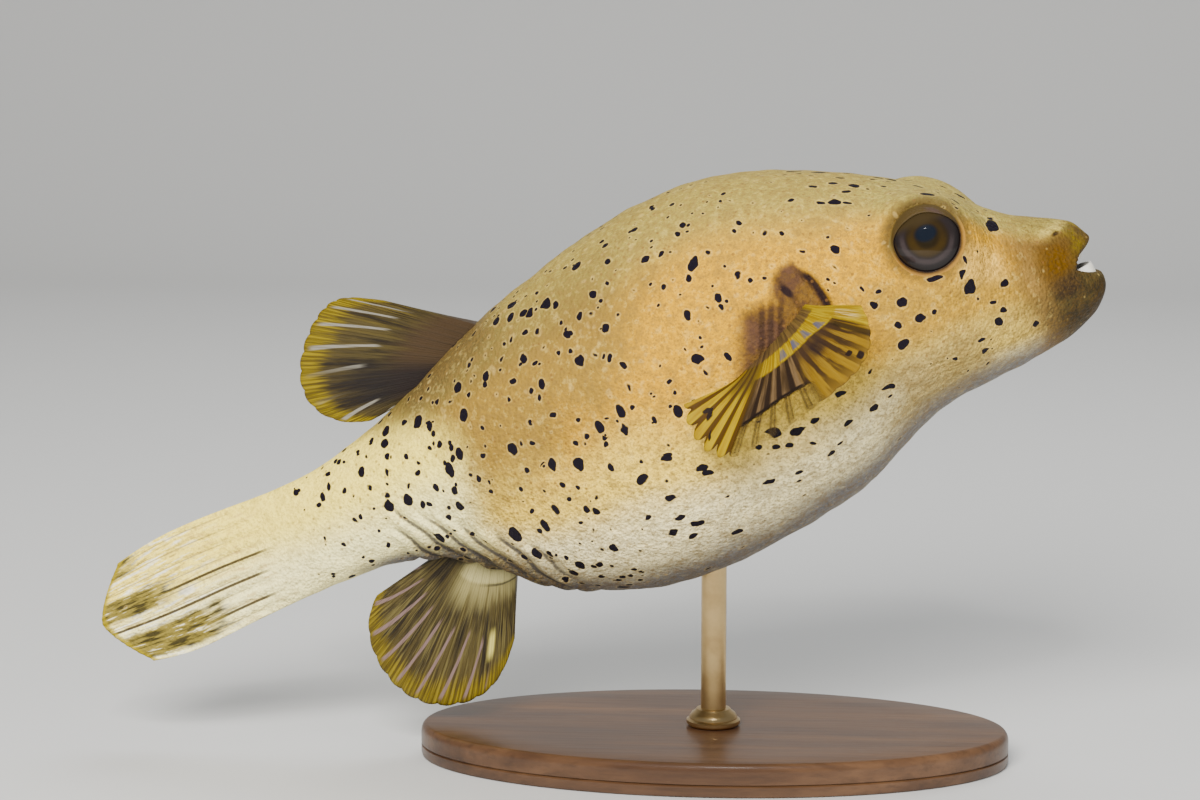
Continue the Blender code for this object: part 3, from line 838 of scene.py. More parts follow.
def skin_finish():
    """Sandy skin with near-black spots and brown pin specks over the body's colours, and painted shade in
    its folds, creases, slits and mouth.
    """
    f = Finish("spotted_skin")
    fish = f.attribute("fish", "Vector")
    x, y, z = f.parts(fish)
    rise = f.attribute("rise")
    here = f.object_place()
    cloud = f.noise(here, 42, 3)
    blotch = f.noise(here, 150, 3, 0.6)
    grain = f.noise(here, 520, 4, 0.65)
    coat_body(f, x, rise, cloud)
    coat_head(f, x, z, rise, cloud, blotch)
    pepper = f.noise(here, 1700, 2, 0.7)
    body = x.step(2.42, 2.36)
    shade = f.mix(body, (0.09, 0.05, 0.012), (0.20, 0.12, 0.028))
    calm = 1 - x.step(1.02, 0.9) * 0.45
    f.coat(grain.step(0.46, 0.62) * calm * 0.42, shade)
    f.coat(grain.step(0.46, 0.36) * body * 0.14, (0.95, 0.72, 0.20))
    f.coat(pepper.step(0.50, 0.62) * calm * 0.50, shade)
    f.coat(blotch.step(0.48, 0.30) * calm * 0.26, shade)
    coat_tail(f, x, f.attribute("ray"), blotch)

    eyeward = f.attribute("eyeward")
    over = z.step(0.14, 0.24)
    lid = (eyeward + (cloud - 0.5) * 0.1).step(1.15, 0.86)
    f.coat(lid * (over * 0.25 + 0.62), (0.075, 0.048, 0.016))

    # Painted shade: dark in the valleys between the folds over the anal fin.
    valley = f.attribute("folds").step(-0.42, -0.95)
    f.coat(valley * 0.9, (0.055, 0.048, 0.044))

    gill = f.attribute("gill")
    slant = x - z * 0.38 + (cloud - 0.5) * 0.012
    lobe = f.vector("MULTIPLY", f.vector("SUBTRACT", fish, (1.873, 0, 0.215)), (19, 0, 19))
    lobe = (f.vector("LENGTH", lobe, lobe, "Value") + (cloud - 0.5) * 0.5).step(1.3, 0.85)
    below = slant.step(1.625, 1.685) * (z + (cloud - 0.5) * 0.10).step(0.232, 0.19) * z.step(0.02, 0.08)
    patch = lobe.most(below) * gill.step(0.05, -0.05)
    patch = patch * (1 - blotch.step(0.55, 0.35) * 0.2)
    mauve = f.mix(blotch.step(0.35, 0.65), (0.027, 0.013, 0.013), (0.062, 0.030, 0.023))
    f.coat(patch * 0.94, mauve)
    # Painted shade along the creases of the folds by the pectoral fin's root.
    for fold in ROOT_FOLDS:
        crease = (slant - fold / 100).size().step(0.011, 0.003) * below
        f.coat(crease * 0.6, (0.018, 0.010, 0.009))
    nick = named_spot(f, fish, 184.9, 21.6, 1.9, 0.4, -62) + (grain - 0.5) * 1.2
    f.coat(nick.step(0.5, -0.5) * 0.9, (0.006, 0.004, 0.008))
    # Painted shade along a wrinkle behind the gill slit.
    wrinkle = (gill + 0.5 + (cloud - 0.5) * 0.2).size().step(0.10, 0.02) * lobe
    f.coat(wrinkle * 0.5, (0.020, 0.010, 0.010))
    # Painted shade: the gill slit near-black.
    slit = (gill + 0.02).size().step(0.15, 0.03) * z.step(0.10, 0.13) * z.step(0.256, 0.226)
    f.coat(slit * 0.95, (0.012, 0.007, 0.009))

    edge = spot_edges(f, fish, x, y, rise)
    edge = edge + patch.most(slit) * 3
    f.coat(edge.step(0.5, 0.12) * 0.18, (0.90, 0.64, 0.20))
    speck = f.cells(fish, 48) * 2.1 + (grain - 0.5) * 0.5
    speck = speck.step(0.46, 0.26) * x.step(0.5, 0.6) * cloud.step(0.38, 0.52) * rise.step(-0.6, -0.4)
    f.coat(speck * 0.55, (0.16, 0.075, 0.02))
    f.coat(edge.step(0.10, -0.06), SPOT_BLACK)
    # Painted shade: near-black inside the mouth, past the lips.
    f.coat(f.attribute("mouth").step(0.12, 0.34), (0.003, 0.002, 0.003))

    pores = f.cells(here, 1100)
    bump = f.bump(grain * 0.7 + pores * 0.5 + blotch * 0.4 + pepper * 0.4, 0.0009, 0.7)
    rough = grain * 0.2 + 0.42
    return f.shine(roughness=rough, normal=bump, specular_ior_level=0.13)


# ---------------------------------------------------------------- fins


def corner_share(across):
    """The share of its length that a fin loses at a place across it."""
    return CORNER_LOSS * np.exp(-np.minimum(across, 1 - across) / CORNER_SPREAD)


def fan(fin):
    """The surface of an upright fin as a function of arrays across and out."""
    rays = natural_spline(np.linspace(0, 1, len(fin.angles)), np.column_stack([fin.angles, fin.lengths]))
    front = np.array([fin.front[0], 0, fin.front[1]])
    rear = np.array([fin.rear[0], 0, fin.rear[1]])

    def surface(across, out):
        angle, length = np.moveaxis(rays(across.ravel()).reshape(*across.shape, 2), -1, 0)
        angle = np.radians(angle)
        reach = length * out * (1 - corner_share(across))
        ray = np.stack([-np.cos(angle), np.zeros_like(angle), np.sin(angle)], axis=-1)
        root = front + (rear - front) * across[..., None]
        points = root + ray * reach[..., None]
        points[..., 1] += 0.5 * out**2 * np.sin(across * 9 + 2 * out)
        return points

    return surface


def paddle(side):
    """The surface of a pectoral fin as a function of arrays across and out."""
    curves = [
        natural_spline(np.linspace(0, 1, len(points)), points)
        for points in (PECTORAL_ROOT, PECTORAL_ELBOW, PECTORAL_TIP)
    ]

    def surface(across, out):
        a, b, c = (curve(across.ravel()).reshape(*across.shape, 3) for curve in curves)
        out = (out * (1 - 0.6 * corner_share(across)))[..., None]
        points = a * (1 - out) ** 2 + b * 2 * out * (1 - out) + c * out**2
        points[..., 1] *= side
        return points

    return surface


def build_fin(name, surface, rays, root_thick, fleshy, columns_per_ray=12, fingers=None):
    """A fin's two faces and its edge as one closed sheet, with ribs along its rays and a notched edge.

    The root's thickness fades over the share fleshy of the fin's length; notches are deep past fingers.
    """
    rows, columns = 64, rays * columns_per_ray + 1
    across, out = np.meshgrid(np.linspace(0, 1, columns), np.linspace(0, 1, rows))
    phase = across * rays
    notch = NOTCH * (1 - np.abs(np.cos(phase * math.pi)) ** 0.7)
    if fingers:
        notch *= 1 + 4.5 * smooth(fingers, fingers + 0.08, across)
    middle = surface(across, out * (1 - notch * smooth(0.5, 1.0, out)))
    normals = grid_normals(middle, closed=False)
    rib = np.abs(np.cos(phase * math.pi)) ** 10
    forked = smooth(0.45, 0.75, out)
    twin = np.abs(np.cos((phase + 0.12) * math.pi)) ** 16 + np.abs(np.cos((phase - 0.12) * math.pi)) ** 16
    ribs = rib * (1 - forked) + twin * forked * 0.7
    thick = SHEET_THICK + (root_thick - SHEET_THICK) * bell(out, fleshy)
    thick = thick + RIB_HEIGHT * ribs * (1 - 0.65 * out)
    edge_share = smooth(1.0, 0.97, out) * smooth(0, 0.012, across) * smooth(1, 0.988, across)
    thick = thick * (0.25 + 0.75 * edge_share) / 2
    front = middle + normals * thick[..., None]
    back = middle - normals * thick[..., None]
    points = np.concatenate([front.reshape(-1, 3), back.reshape(-1, 3)])
    uv = np.tile(np.column_stack([across.ravel(), out.ravel()]), (2, 1))
    return make_piece(name, place(points), sheet_faces(rows, columns), uv=uv)


def ray_tree():
    """Geometry nodes that round out lines into rods; the lines' attribute "stout" thins each rod."""
    tree = bpy.data.node_groups.new("fin_rays", "GeometryNodeTree")
    inputs = {"Lines": "Geometry", "Thickness": "Float", "Sides": "Int", "Finish": "Material"}
    for name, kind in inputs.items():
        tree.interface.new_socket(name, in_out="INPUT", socket_type="NodeSocket" + kind)
    tree.interface.new_socket("Rods", in_out="OUTPUT", socket_type="NodeSocketGeometry")
    kinds = ("MeshToCurve", "CurvePrimitiveCircle", "InputNamedAttribute", "CurveToMesh")
    kinds += ("RealizeInstances", "SetMaterial")
    curve, ring, stout, rod, whole, painted = (tree.nodes.new("GeometryNode" + kind) for kind in kinds)
    given, made = tree.nodes.new("NodeGroupInput"), tree.nodes.new("NodeGroupOutput")
    stout.data_type = "FLOAT"
    stout.inputs["Name"].default_value = "stout"
    rod.inputs["Fill Caps"].default_value = True
    for source, name, target, slot in (
        (given, "Lines", curve, "Mesh"),
        (given, "Thickness", ring, "Radius"),
        (given, "Sides", ring, "Resolution"),
        (curve, "Curve", rod, "Curve"),
        (ring, "Curve", rod, "Profile Curve"),
        (stout, "Attribute", rod, "Scale"),
        (rod, "Mesh", whole, "Geometry"),
        (whole, "Geometry", painted, "Geometry"),
        (given, "Finish", painted, "Material"),
        (painted, "Geometry", made, "Rods"),
    ):
        tree.links.new(source.outputs[name], target.inputs[slot])
    return tree


def build_rays(name, surface, rays, thickness, tree, material):
    """A fin's rays as round rods set in its sheet, each one forked towards the edge."""
    points, edges, stout, weave = [], [], [], []
    for ray in range(1, rays):
        for side, start in ((1, 0.04), (-1, 0.5)):
            out = np.linspace(start, 0.975, 44)
            across = (ray + 0.12 * side * smooth(0.45, 0.75, out)) / rays
            first = len(points)
            points.extend(place(surface(across[None], out[None])[0]))
            edges += [(k, k + 1) for k in range(first, len(points) - 1)]
            stout.extend((1 - 0.62 * out) * (1 - 0.25 * (side < 0)))
            weave.extend(zip(across, out))
    mesh = bpy.data.meshes.new(name)
    mesh.from_pydata([tuple(p) for p in points], edges, [])
    trail = np.column_stack([weave, np.zeros(len(weave))])
    set_attributes(mesh, {"stout": np.array(stout), "trail": trail})
    obj = add_object(name, mesh)
    modifier = obj.modifiers.new("rays", "NODES")
    modifier.node_group = tree
    sockets = {item.name: item.identifier for item in tree.interface.items_tree}
    modifier[sockets["Thickness"]] = thickness / 1000
    modifier[sockets["Sides"]] = 8
    modifier[sockets["Finish"]] = material
    grown = obj.evaluated_get(bpy.context.evaluated_depsgraph_get())
    rods = bpy.data.meshes.new_from_object(grown)
    obj.modifiers.remove(modifier)
    obj.data = rods
    rods.name = name
    trail = np.empty(len(rods.vertices) * 3, np.float32)
    rods.attributes["trail"].data.foreach_get("vector", trail)
    lay_weave(rods, trail.reshape(-1, 3)[:, :2])
    if signed_volume(rods) < 0:
        rods.flip_normals()
    rods.shade_smooth()
    return obj


def fin_base(f, rays):
    """The fin's own coordinates, and 1 on a ray falling to 0 between rays."""
    across, out, _ = f.parts(f.add("ShaderNodeUVMap", {"uv_map": "weave"}))
    return across, out, (across * rays).comb().step(0.42, 0.08)


def strands(f, across, out, count):
    """Noise drawn out along the rays."""
    weave = f.add("ShaderNodeCombineXYZ", None, {0: across * count, 1: out * 2.2})
    return f.noise(weave, 1.0, 3, 0.6)


def coat_dorsal(f, across, out, streak, fine, tone):
    """A brown fleshy root, a dark band behind the middle and olive strands towards the front."""
    f.colour = f.mix((out + streak * 0.2).step(0.38, 0.62), (0.040, 0.024, 0.011), tone)
    shade = across.near(0.76, 0.26) * out.step(0.95, 0.5)
    f.coat(shade * 0.85, (0.009, 0.007, 0.008))
    light = across.step(0.55, 0.1) * fine.step(0.50, 0.64) * out.step(0.35, 0.6)
    f.coat(light * 0.6, (0.12, 0.085, 0.008))


def coat_anal(f, across, out, streak, fine, tone):
    """Olive strands, a creamy root with a pale band and painted shade along a crease by the vent, and one
    pale yellow patch.
    """
    strand = fine.step(0.48, 0.62) * out.step(0.2, 0.35)
    f.colour = f.mix(strand * 0.75, tone, (0.115, 0.092, 0.028))
    creamy = (out + streak * 0.30 - 0.15).step(0.40, 0.16) * across.step(0.72, 0.52)
    f.coat(creamy * (0.95 - 0.5 * streak.step(0.55, 0.65)), (0.26, 0.22, 0.082))
    band = (out - across.near(0.3, 0.5) * 0.05).step(0.12, 0.09) * across.step(0.68, 0.52)
    f.coat(band * across.step(0.0, 0.06) * 0.9, (0.40, 0.35, 0.15))
    # Painted shade: a dark line along a crease by the vent.
    crease = (out - 0.14 - across.near(0.3, 0.4) * 0.03).size().step(0.014, 0.005)
    f.coat(crease * across.step(0.45, 0.25) * 0.8, (0.05, 0.04, 0.02))
    f.coat(across.near(0.235, 0.035) * out.near(0.64, 0.15), (0.50, 0.43, 0.10))


def upright_fin_finish(fin):
    """Dark olive fin with streaks, pale panes towards the edge and a yellow margin."""
    f = Finish(fin.node)
    across, out, _ = fin_base(f, fin.rays)
    streak = strands(f, across, out, 26)
    fine = strands(f, across, out, 75)
    tone = f.mix(streak.step(0.35, 0.65), (0.013, 0.009, 0.005), (0.056, 0.041, 0.012))
    if fin.node == "dorsal_fin":
        coat_dorsal(f, across, out, streak, fine, tone)
        strength, pane_start, pane_paint = 0.95, 0.52, (0.20, 0.185, 0.15)
        paned = across.step(0.08, 0.13) * (1 - across.near(0.71, 0.14))
    else:
        coat_anal(f, across, out, streak, fine, tone)
        strength, pane_start, pane_paint = 0.72, 0.62 - across * 0.34, (0.165, 0.105, 0.095)
        paned = across.step(0.22, 0.28)
    margin = (out + (streak - 0.5) * 0.22 + (fine - 0.5) * 0.16).step(0.80, 0.93)
    f.coat(margin * strength, f.mix(fine.step(0.4, 0.6), (0.085, 0.058, 0.002), (0.20, 0.145, 0.0)))
    hair = (across * fin.rays * 4.0).comb().step(0.06, 0.26)
    f.coat((1 - hair) * out.step(0.6, 0.9) * 0.42, (0.045, 0.028, 0.004))
    pane = (across - out * 0.12 + 0.096) * fin.panes - fin.pane_shift
    width = (pane.comb() + (streak - 0.5) * 0.10).step(0.10, 0.055)
    span = (out + (streak - 0.5) * 0.25 - pane_start).step(0.0, 0.08) * out.step(0.985, 0.93)
    f.coat(width * span * paned * 0.9, pane_paint)
    bump = f.bump(streak * 0.6 + hair * 0.4, 0.0006, 0.5)
    return f.shine(roughness=streak * 0.2 + 0.4, normal=bump, specular_ior_level=0.3)


def pectoral_finish():
    """Yellow root and rear rays, brown stripes between, bluish panes by the root, a clear middle edge."""
    f = Finish("pectoral_fin")
    across, out, on_ray = fin_base(f, PECTORAL_RAYS)
    streak = strands(f, across, out, 30)
    fine = strands(f, across, out, 70)
    tone = streak.step(0.35, 0.65)
    gold = f.mix(tone, (0.205, 0.120, 0.0), (0.29, 0.20, 0.0))
    yellow = f.mix(fine.step(0.4, 0.6), (0.18, 0.105, 0.0), (0.27, 0.19, 0.0))

    # the front lobe: tan and dark brown strands, darkest at their root, and a dark line by the front edge
    tan = f.mix(out.step(0.6, 0.9), (0.10, 0.052, 0.005), (0.155, 0.086, 0.004))
    tan = f.mix(fine.step(0.45, 0.65) * 0.4, tan, (0.20, 0.125, 0.012))
    dark = (streak + (fine - 0.5) * 0.4 + on_ray * 0.26).step(0.70, 0.54)
    f.colour = f.mix(dark * out.step(1.2, 0.75), tan, (0.030, 0.016, 0.006))
    dusk = (out + (streak - 0.5) * 0.12).step(0.66, 0.48)
    f.coat(dusk * 0.8, (0.030, 0.016, 0.009))
    blotch = across.near(0.31, 0.07) * out.near(0.57, 0.13)
    f.coat(blotch * 0.8, (0.014, 0.008, 0.008))
    line = (across - 0.125).size().step(0.022, 0.010) * out.step(0.5, 0.62)
    f.coat(line * 0.9, (0.017, 0.01, 0.004))

    # the middle: dark stripes that end in a dark curved edge, and clear skin past it
    middle = (across + (streak - 0.5) * 0.05).step(0.42, 0.48) * across.step(0.74, 0.71)
    stripes = f.mix(tone, (0.031, 0.018, 0.008), (0.116, 0.071, 0.031))
    stripes = f.mix((on_ray + (fine - 0.5) * 0.5).step(0.1, 0.7), (0.014, 0.008, 0.005), stripes)
    f.coat(middle, stripes)
    past = out - (across - 0.58) * (across - 0.58) * 2.2 + (streak - 0.5) * 0.03
    f.coat((past - 0.745).size().step(0.020, 0.008) * middle, (0.008, 0.005, 0.004))
    beyond = past.step(0.745, 0.765) * across.step(0.40, 0.47) * across.step(0.735, 0.715)
    f.coat(beyond, (0.045, 0.028, 0.010))

    # the rear lobe's golden ray bundles, the front bundle, the yellow root and the panes let into it
    rear = (across + (streak - 0.5) * 0.02).step(0.715, 0.73)
    split = (on_ray + (fine - 0.5) * 0.5).step(0.15, 0.55)
    bundle = f.mix(split, (0.05, 0.024, 0.003), gold)
    f.coat(rear, bundle)
    dusk = rear * (out + (fine - 0.5) * 0.3).step(0.70, 0.42) * across.step(0.99, 0.88)
    f.coat(dusk * 0.85, (0.036, 0.021, 0.007))
    pale = (across - 0.05).size().step(0.032, 0.004) * fine.step(0.42, 0.60) * out.step(1.0, 0.8)
    f.coat(across.step(0.100, 0.085), f.mix(pale * 0.8, yellow, (0.40, 0.29, 0.13)))
    root = (across.step(0.30, 0.0) * 0.18 + 0.43 - out).step(0.0, 0.03) * across.step(0.78, 0.66)
    f.coat(root, yellow)
    flesh = (out + (streak - 0.5) * 0.03).step(0.255, 0.225) * across.step(0.03, 0.10)
    f.coat(flesh * 0.92, f.mix(tone, (0.034, 0.020, 0.012), (0.095, 0.056, 0.018)))
    inward = across.step(0.32, 0.1) * 0.11 + 0.26
    hollow = (out - inward).step(0.0, 0.03) * (out - inward).step(0.135, 0.115)
    wedge = ((across - 0.51) * 8.8).comb() - (out - inward) * 1.5
    pane = wedge.step(0.14, 0.07) * hollow * across.near(0.35, 0.24).step(0, 0.05)
    f.coat(pane * (tone * 0.4 + 0.6), (0.062, 0.060, 0.088))
    for share, far, half in PECTORAL_BLOTS:
        blot = across.near(share, half) * out.near(far, half * 1.6)
        f.coat(blot.step(0.1, 0.5), (0.012, 0.007, 0.005))
    alpha = 1 - beyond * (0.96 - 0.24 * on_ray * on_ray)
    bump = f.bump(streak, 0.0005, 0.5)
    rough = streak * 0.2 + 0.36
    return f.shine(roughness=rough, alpha=alpha, normal=bump, specular_ior_level=0.2)


# ---------------------------------------------------------------- eyes, lids and teeth


def eye_frame(side):
    """An eye's centre, its axis, and two directions across the axis: forward and up."""
    flip = np.array([1, side, 1])
    axis = EYE_AXIS * flip
    up = np.array([0.0, 0.0, 1.0])
    up -= axis * (up @ axis)
    up /= np.linalg.norm(up)
    return EYE_CENTRE * flip, axis, np.cross(up, axis) * side, up


def disc_points(side, radius, height, angle):
    """Points round an eye's axis, and each one's place across the eye, forward and up, in eye radii."""
    centre, axis, forward, up = eye_frame(side)
    ring = np.cos(angle)[..., None] * forward + np.sin(angle)[..., None] * up
    points = (centre + radius[..., None] * ring + height[..., None] * axis).reshape(-1, 3)
    offset = (points - centre) / EYE_RADIUS
    return points, {"disc": np.column_stack([offset @ forward, offset @ up, np.zeros(len(points))])}


def build_eye(name, side):
    """The eyeball's front: a shallow dome with a slightly fuller cornea, on a flat back."""
    turns = 96
    radius = np.linspace(0.02, 1, 44) * (EYE_RADIUS - 0.05)
    dome = EYE_DEPTH * np.sqrt(np.clip(1 - (radius / EYE_RADIUS) ** 2, 0, 1)) * 0.97
    cornea = 0.25 * bell(radius, 4.2)
    front = np.minimum(dome + cornea, EYE_DEPTH - 0.02)
    radius = np.append(radius, [EYE_RADIUS - 1.2, 0.15])
    height = np.append(front, [-1.6, -1.8])
    # every ring of points, then one point on the axis at each end
    radii = np.append(np.repeat(radius, turns), [0, 0])
    heights = np.append(np.repeat(height, turns), [height[0], height[-1]])
    angles = np.append(np.tile(full_turn(turns), len(radius)), [0, 0])
    points, disc = disc_points(side, radii, heights, angles)
    return make_piece("eye_" + name, place(points), turned_faces(len(radius), turns), disc)


def build_lid(name, side):
    """The skin's rim round the eye: a soft ring that hoods the top of the eyeball."""
    turns, steps = 144, 22
    angle = full_turn(turns)[None, :]
    share = np.linspace(0, 1, steps)[:, None]
    hood = smooth(0.0, 1.05, np.sin(angle - 0.12))
    inner = EYE_RADIUS * (0.95 - 0.25 * hood)
    radius = inner + (EYE_RADIUS * LID_REACH - inner) * share
    ball = EYE_DEPTH * np.sqrt(np.clip(1 - (radius / EYE_RADIUS) ** 2, 0, 1))
    edge = np.clip(share / 0.12, 0, 1)
    upper = np.maximum(ball + 0.12 + 0.4 * np.sqrt(edge * (2 - edge)), 1.15 - 0.9 * (share - 0.35))
    upper -= 0.9 * smooth(0.8, 1.0, share)
    upper += 0.07 * np.sin(radius * 5.2 + 0.4 * np.sin(angle * 5)) * edge * smooth(1.0, 0.8, share)
    lower = np.minimum(ball + 0.1, upper - 0.05) - 0.9 * smooth(0.0, 0.25, share)
    radii = np.concatenate([radius, radius[::-1]])
    heights = np.concatenate([upper, lower[::-1]])
    points, disc = disc_points(side, radii, heights, angle)
    faces = grid_faces(2 * steps, turns, closed=True)
    last = (2 * steps - 1) * turns
    faces += [(last + k, last + (k + 1) % turns, (k + 1) % turns, k) for k in range(turns)]
    return make_piece("eyelid_" + name, place(points), faces, disc)


def eye_finish():
    """Navy oval pupil, olive-brown iris with amber, a mauve-grey ring below painted as a reflection, and a
    black rim; glossy.
    """
    f = Finish("eye")
    across, up, _ = f.parts(f.attribute("disc", "Vector"))
    streak = f.noise(f.object_place(), 420, 4, 0.6)
    radius = (across * across + up * up) ** 0.5 + (streak - 0.5) * 0.06
    f.colour = f.ramp(
        radius,
        (0.0, (0.008, 0.006, 0.003)),
        (0.28, (0.011, 0.007, 0.002)),
        (0.44, (0.019, 0.011, 0.003)),
        (0.56, (0.014, 0.009, 0.004)),
        (0.66, (0.014, 0.01, 0.01)),
        (0.80, (0.013, 0.01, 0.01)),
        (0.89, (0.008, 0.006, 0.006)),
        (1.0, (0.005, 0.003, 0.003)),
    )
    below = (up - across * 0.35).step(0.22, -0.25)
    glow = radius.near(0.46, 0.16) * below
    f.coat(glow * 0.7, (0.03, 0.017, 0.002))
    # Painted reflection: a pale mauve-grey crescent low in the eye.
    crescent = radius.near(0.71, 0.10) * below
    f.coat(crescent * (streak * 0.8 + 0.3), (0.036, 0.027, 0.027))
    f.coat(up.step(0.28, 0.55), (0.026, 0.017, 0.006))
    wide, high = across * 3.1, (up - 0.1) * 4.2
    pupil = (wide * wide + high * high) ** 0.5
    f.coat(pupil.step(1.2, 0.75), (0.003, 0.005, 0.01))
    return f.shine(roughness=0.4, specular_ior_level=0.1, coat_weight=0.4, coat_roughness=0.02)


def lid_finish():
    """Brown-olive hood over the eye, a dark ring under it, turning to the skin's sand outside."""
    f = Finish("eyelid")
    across, up, _ = f.parts(f.attribute("disc", "Vector"))
    grain = f.noise(f.object_place(), 420, 4, 0.65)
    radius = (across * across + up * up) ** 0.5 + (grain - 0.5) * 0.08
    over = (up + across * 0.1).step(-0.3, 0.3)
    inner = f.mix(over, (0.009, 0.005, 0.007), (0.046, 0.029, 0.008))
    outer = f.mix(over, (0.277, 0.139, 0.019), (0.131, 0.092, 0.022))
    f.colour = f.mix(radius.step(0.94, 1.08), inner, outer)
    mauve = radius.near(0.80, 0.1) * across.near(-0.45, 0.3) * over
    f.coat(mauve * 0.5, (0.046, 0.027, 0.031))
    bump = f.bump(grain, 0.0005, 0.5)
    return f.shine(roughness=0.42, normal=bump, specular_ior_level=0.35)


# Tooth plates: place of the front along the fish, half width, and heights of the root and the biting edge
Beak = namedtuple("Beak", "node front half_width root edge")
BEAKS = [
    Beak("teeth_lower", 250.6, 5.3, -6.2, -0.2),
    Beak("teeth_upper", 249.0, 4.4, 4.8, 1.6),
]
BEAK_DEPTH = 6.0


def build_beak(beak):
    """One jaw's fused tooth plate: a horseshoe band that thins to its biting edge, split in the middle."""
    turns, levels = 81, 14
    angle = np.linspace(-0.5, 0.5, turns) * math.pi
    share = np.linspace(0, 1, levels)
    sheets = []
    for sign in (1, -1):
        thick = sign * (0.7 - 0.35 * share[:, None] ** 2)
        thick = thick * np.sqrt(np.clip(1 - (share[:, None] - 0.1) ** 6, 0.05, 1))
        suture = 0.16 * bell(angle[None, :], 0.035)
        x = beak.front - BEAK_DEPTH * (1 - np.cos(angle)) + thick * np.cos(angle) - suture * sign
        y = (beak.half_width + thick) * np.sin(angle) * np.ones_like(share)[:, None]
        tall = beak.edge - beak.root
        height = beak.root + tall * share[:, None] * (1 - 0.05 * (1 - np.cos(angle)))
        sheets.append(np.stack([x, y, height], axis=-1))
    points = np.concatenate([sheet.reshape(-1, 3) for sheet in sheets])
    return make_piece(beak.node, place(points), sheet_faces(levels, turns), angle=50)


def tooth_finish():
    """Ivory with faint yellow growth marks."""
    f = Finish("tooth")
    growth = f.noise(f.object_place(), 260, 3)
    f.colour = f.mix(growth.step(0.4, 0.7) * 0.5, (0.82, 0.80, 0.74), (0.68, 0.61, 0.45))
    return f.shine(roughness=0.22, coat_weight=0.4)


# ---------------------------------------------------------------- the stand

TOP_ROUNDING = 2.2
ROD_RADIUS = 3.0
ROD_CHAMFER = 0.4


def oval_ring(half_x, half_y, height, turns):
    """A level ring of points in mm."""
    angle = full_turn(turns)
    return np.column_stack([half_x * np.cos(angle), half_y * np.sin(angle), np.full(turns, height)])


def close_rings(name, rings, foot, top, angle):
    """A piece from rings in mm, ended by a point on the upright axis at its foot and one at its top."""
    points = np.concatenate([*rings, [[0, 0, foot], [0, 0, top]]])
    return make_piece(name, points * 0.001, turned_faces(len(rings), len(rings[0])), angle=angle)


def build_base():
    """The oval base with a rounded top edge and a fine groove round its side."""
    _, (half_x, half_y, top) = box_mm("stand_base")
    # how far in from the side, and how high: the foot's edge, the groove and the rounded top edge
    outline = [(1.0, 0.0), (0.25, 0.25), (0.0, 1.0), (0.0, 2.6), (0.45, 2.9), (0.0, 3.2)]
    outline += [(0.0, top - TOP_ROUNDING)]
    for bend in np.linspace(0.2, 1.57, 7):
        outline += [(1.4 * (1 - math.cos(bend)), top - TOP_ROUNDING + TOP_ROUNDING * math.sin(bend))]
    rings = [oval_ring(half_x - inward, half_y - inward, height, 192) for inward, height in outline]
    rings += [rings[-1] * [share, share, 1] for share in (0.8, 0.5, 0.2)]
    rings.insert(0, rings[0] * [0.5, 0.5, 1])
    return close_rings("stand_base_wood", rings, 0, top, angle=30)


def build_post(name, outline):
    """An upright turned metal piece from (radius, height) pairs in mm."""
    rings = [oval_ring(radius, radius, height, 72) for radius, height in outline]
    return close_rings(name, rings, outline[0][1], outline[-1][1], angle=35)


def build_rod():
    """The rod, with a small chamfer at its tip inside the belly."""
    (_, _, foot), (_, _, tip) = box_mm("stand_rod")
    outline = [(ROD_RADIUS, foot), (ROD_RADIUS, tip - ROD_CHAMFER), (ROD_RADIUS - ROD_CHAMFER, tip)]
    return build_post("stand_rod_metal", outline)


def build_collar():
    """The turned collar: a round foot, a step and a throat that narrows towards the rod."""
    (_, _, foot), (_, _, top) = box_mm("stand_collar")
    outline = [(6.0, foot), (6.4, foot + 0.4), (6.4, foot + 1.2), (5.7, foot + 1.6), (5.7, foot + 2.0)]
    outline += [(5.2, foot + 2.8), (4.4, foot + 3.4), (4.0, top - 0.1), (3.5, top)]
    return build_post("stand_collar_metal", outline)


def wood_finish():
    """Dark satin walnut, its grain along the base."""
    f = Finish("stand_wood")
    here = f.object_place()
    grain = f.noise(f.vector("MULTIPLY", here, (11.2, 120, 120)), 1.0, 6, 0.62)
    fibre = f.noise(f.vector("MULTIPLY", here, (48, 720, 720)), 1.0, 3, 0.6)
    dark, walnut, light = (0.024, 0.01, 0.005), (0.068, 0.032, 0.014), (0.12, 0.06, 0.027)
    f.colour = f.ramp(grain, (0.25, dark), (0.5, walnut), (0.75, light))
    f.coat(fibre.step(0.45, 0.7) * 0.35, (0.02, 0.009, 0.004))
    bump = f.bump(fibre, 0.0002, 0.35)
    return f.shine(roughness=0.34 + grain * 0.15, normal=bump, coat_weight=0.25, coat_roughness=0.2)


def brass_finish():
    """Brass brushed round the rod."""
    f = Finish("stand_metal")
    here = f.object_place()
    brushed = f.noise(f.vector("MULTIPLY", here, (51, 51, 2975)), 1.0, 4, 0.6)
    tarnish = f.noise(here, 120, 4)
    f.colour = f.mix(tarnish.step(0.4, 0.75), (0.663, 0.476, 0.221), (0.51, 0.34, 0.145))
    bump = f.bump(brushed, 0.00005, 0.4)
    return f.shine(metallic=1.0, roughness=0.22 + brushed * 0.2, normal=bump)


# ---------------------------------------------------------------- studio


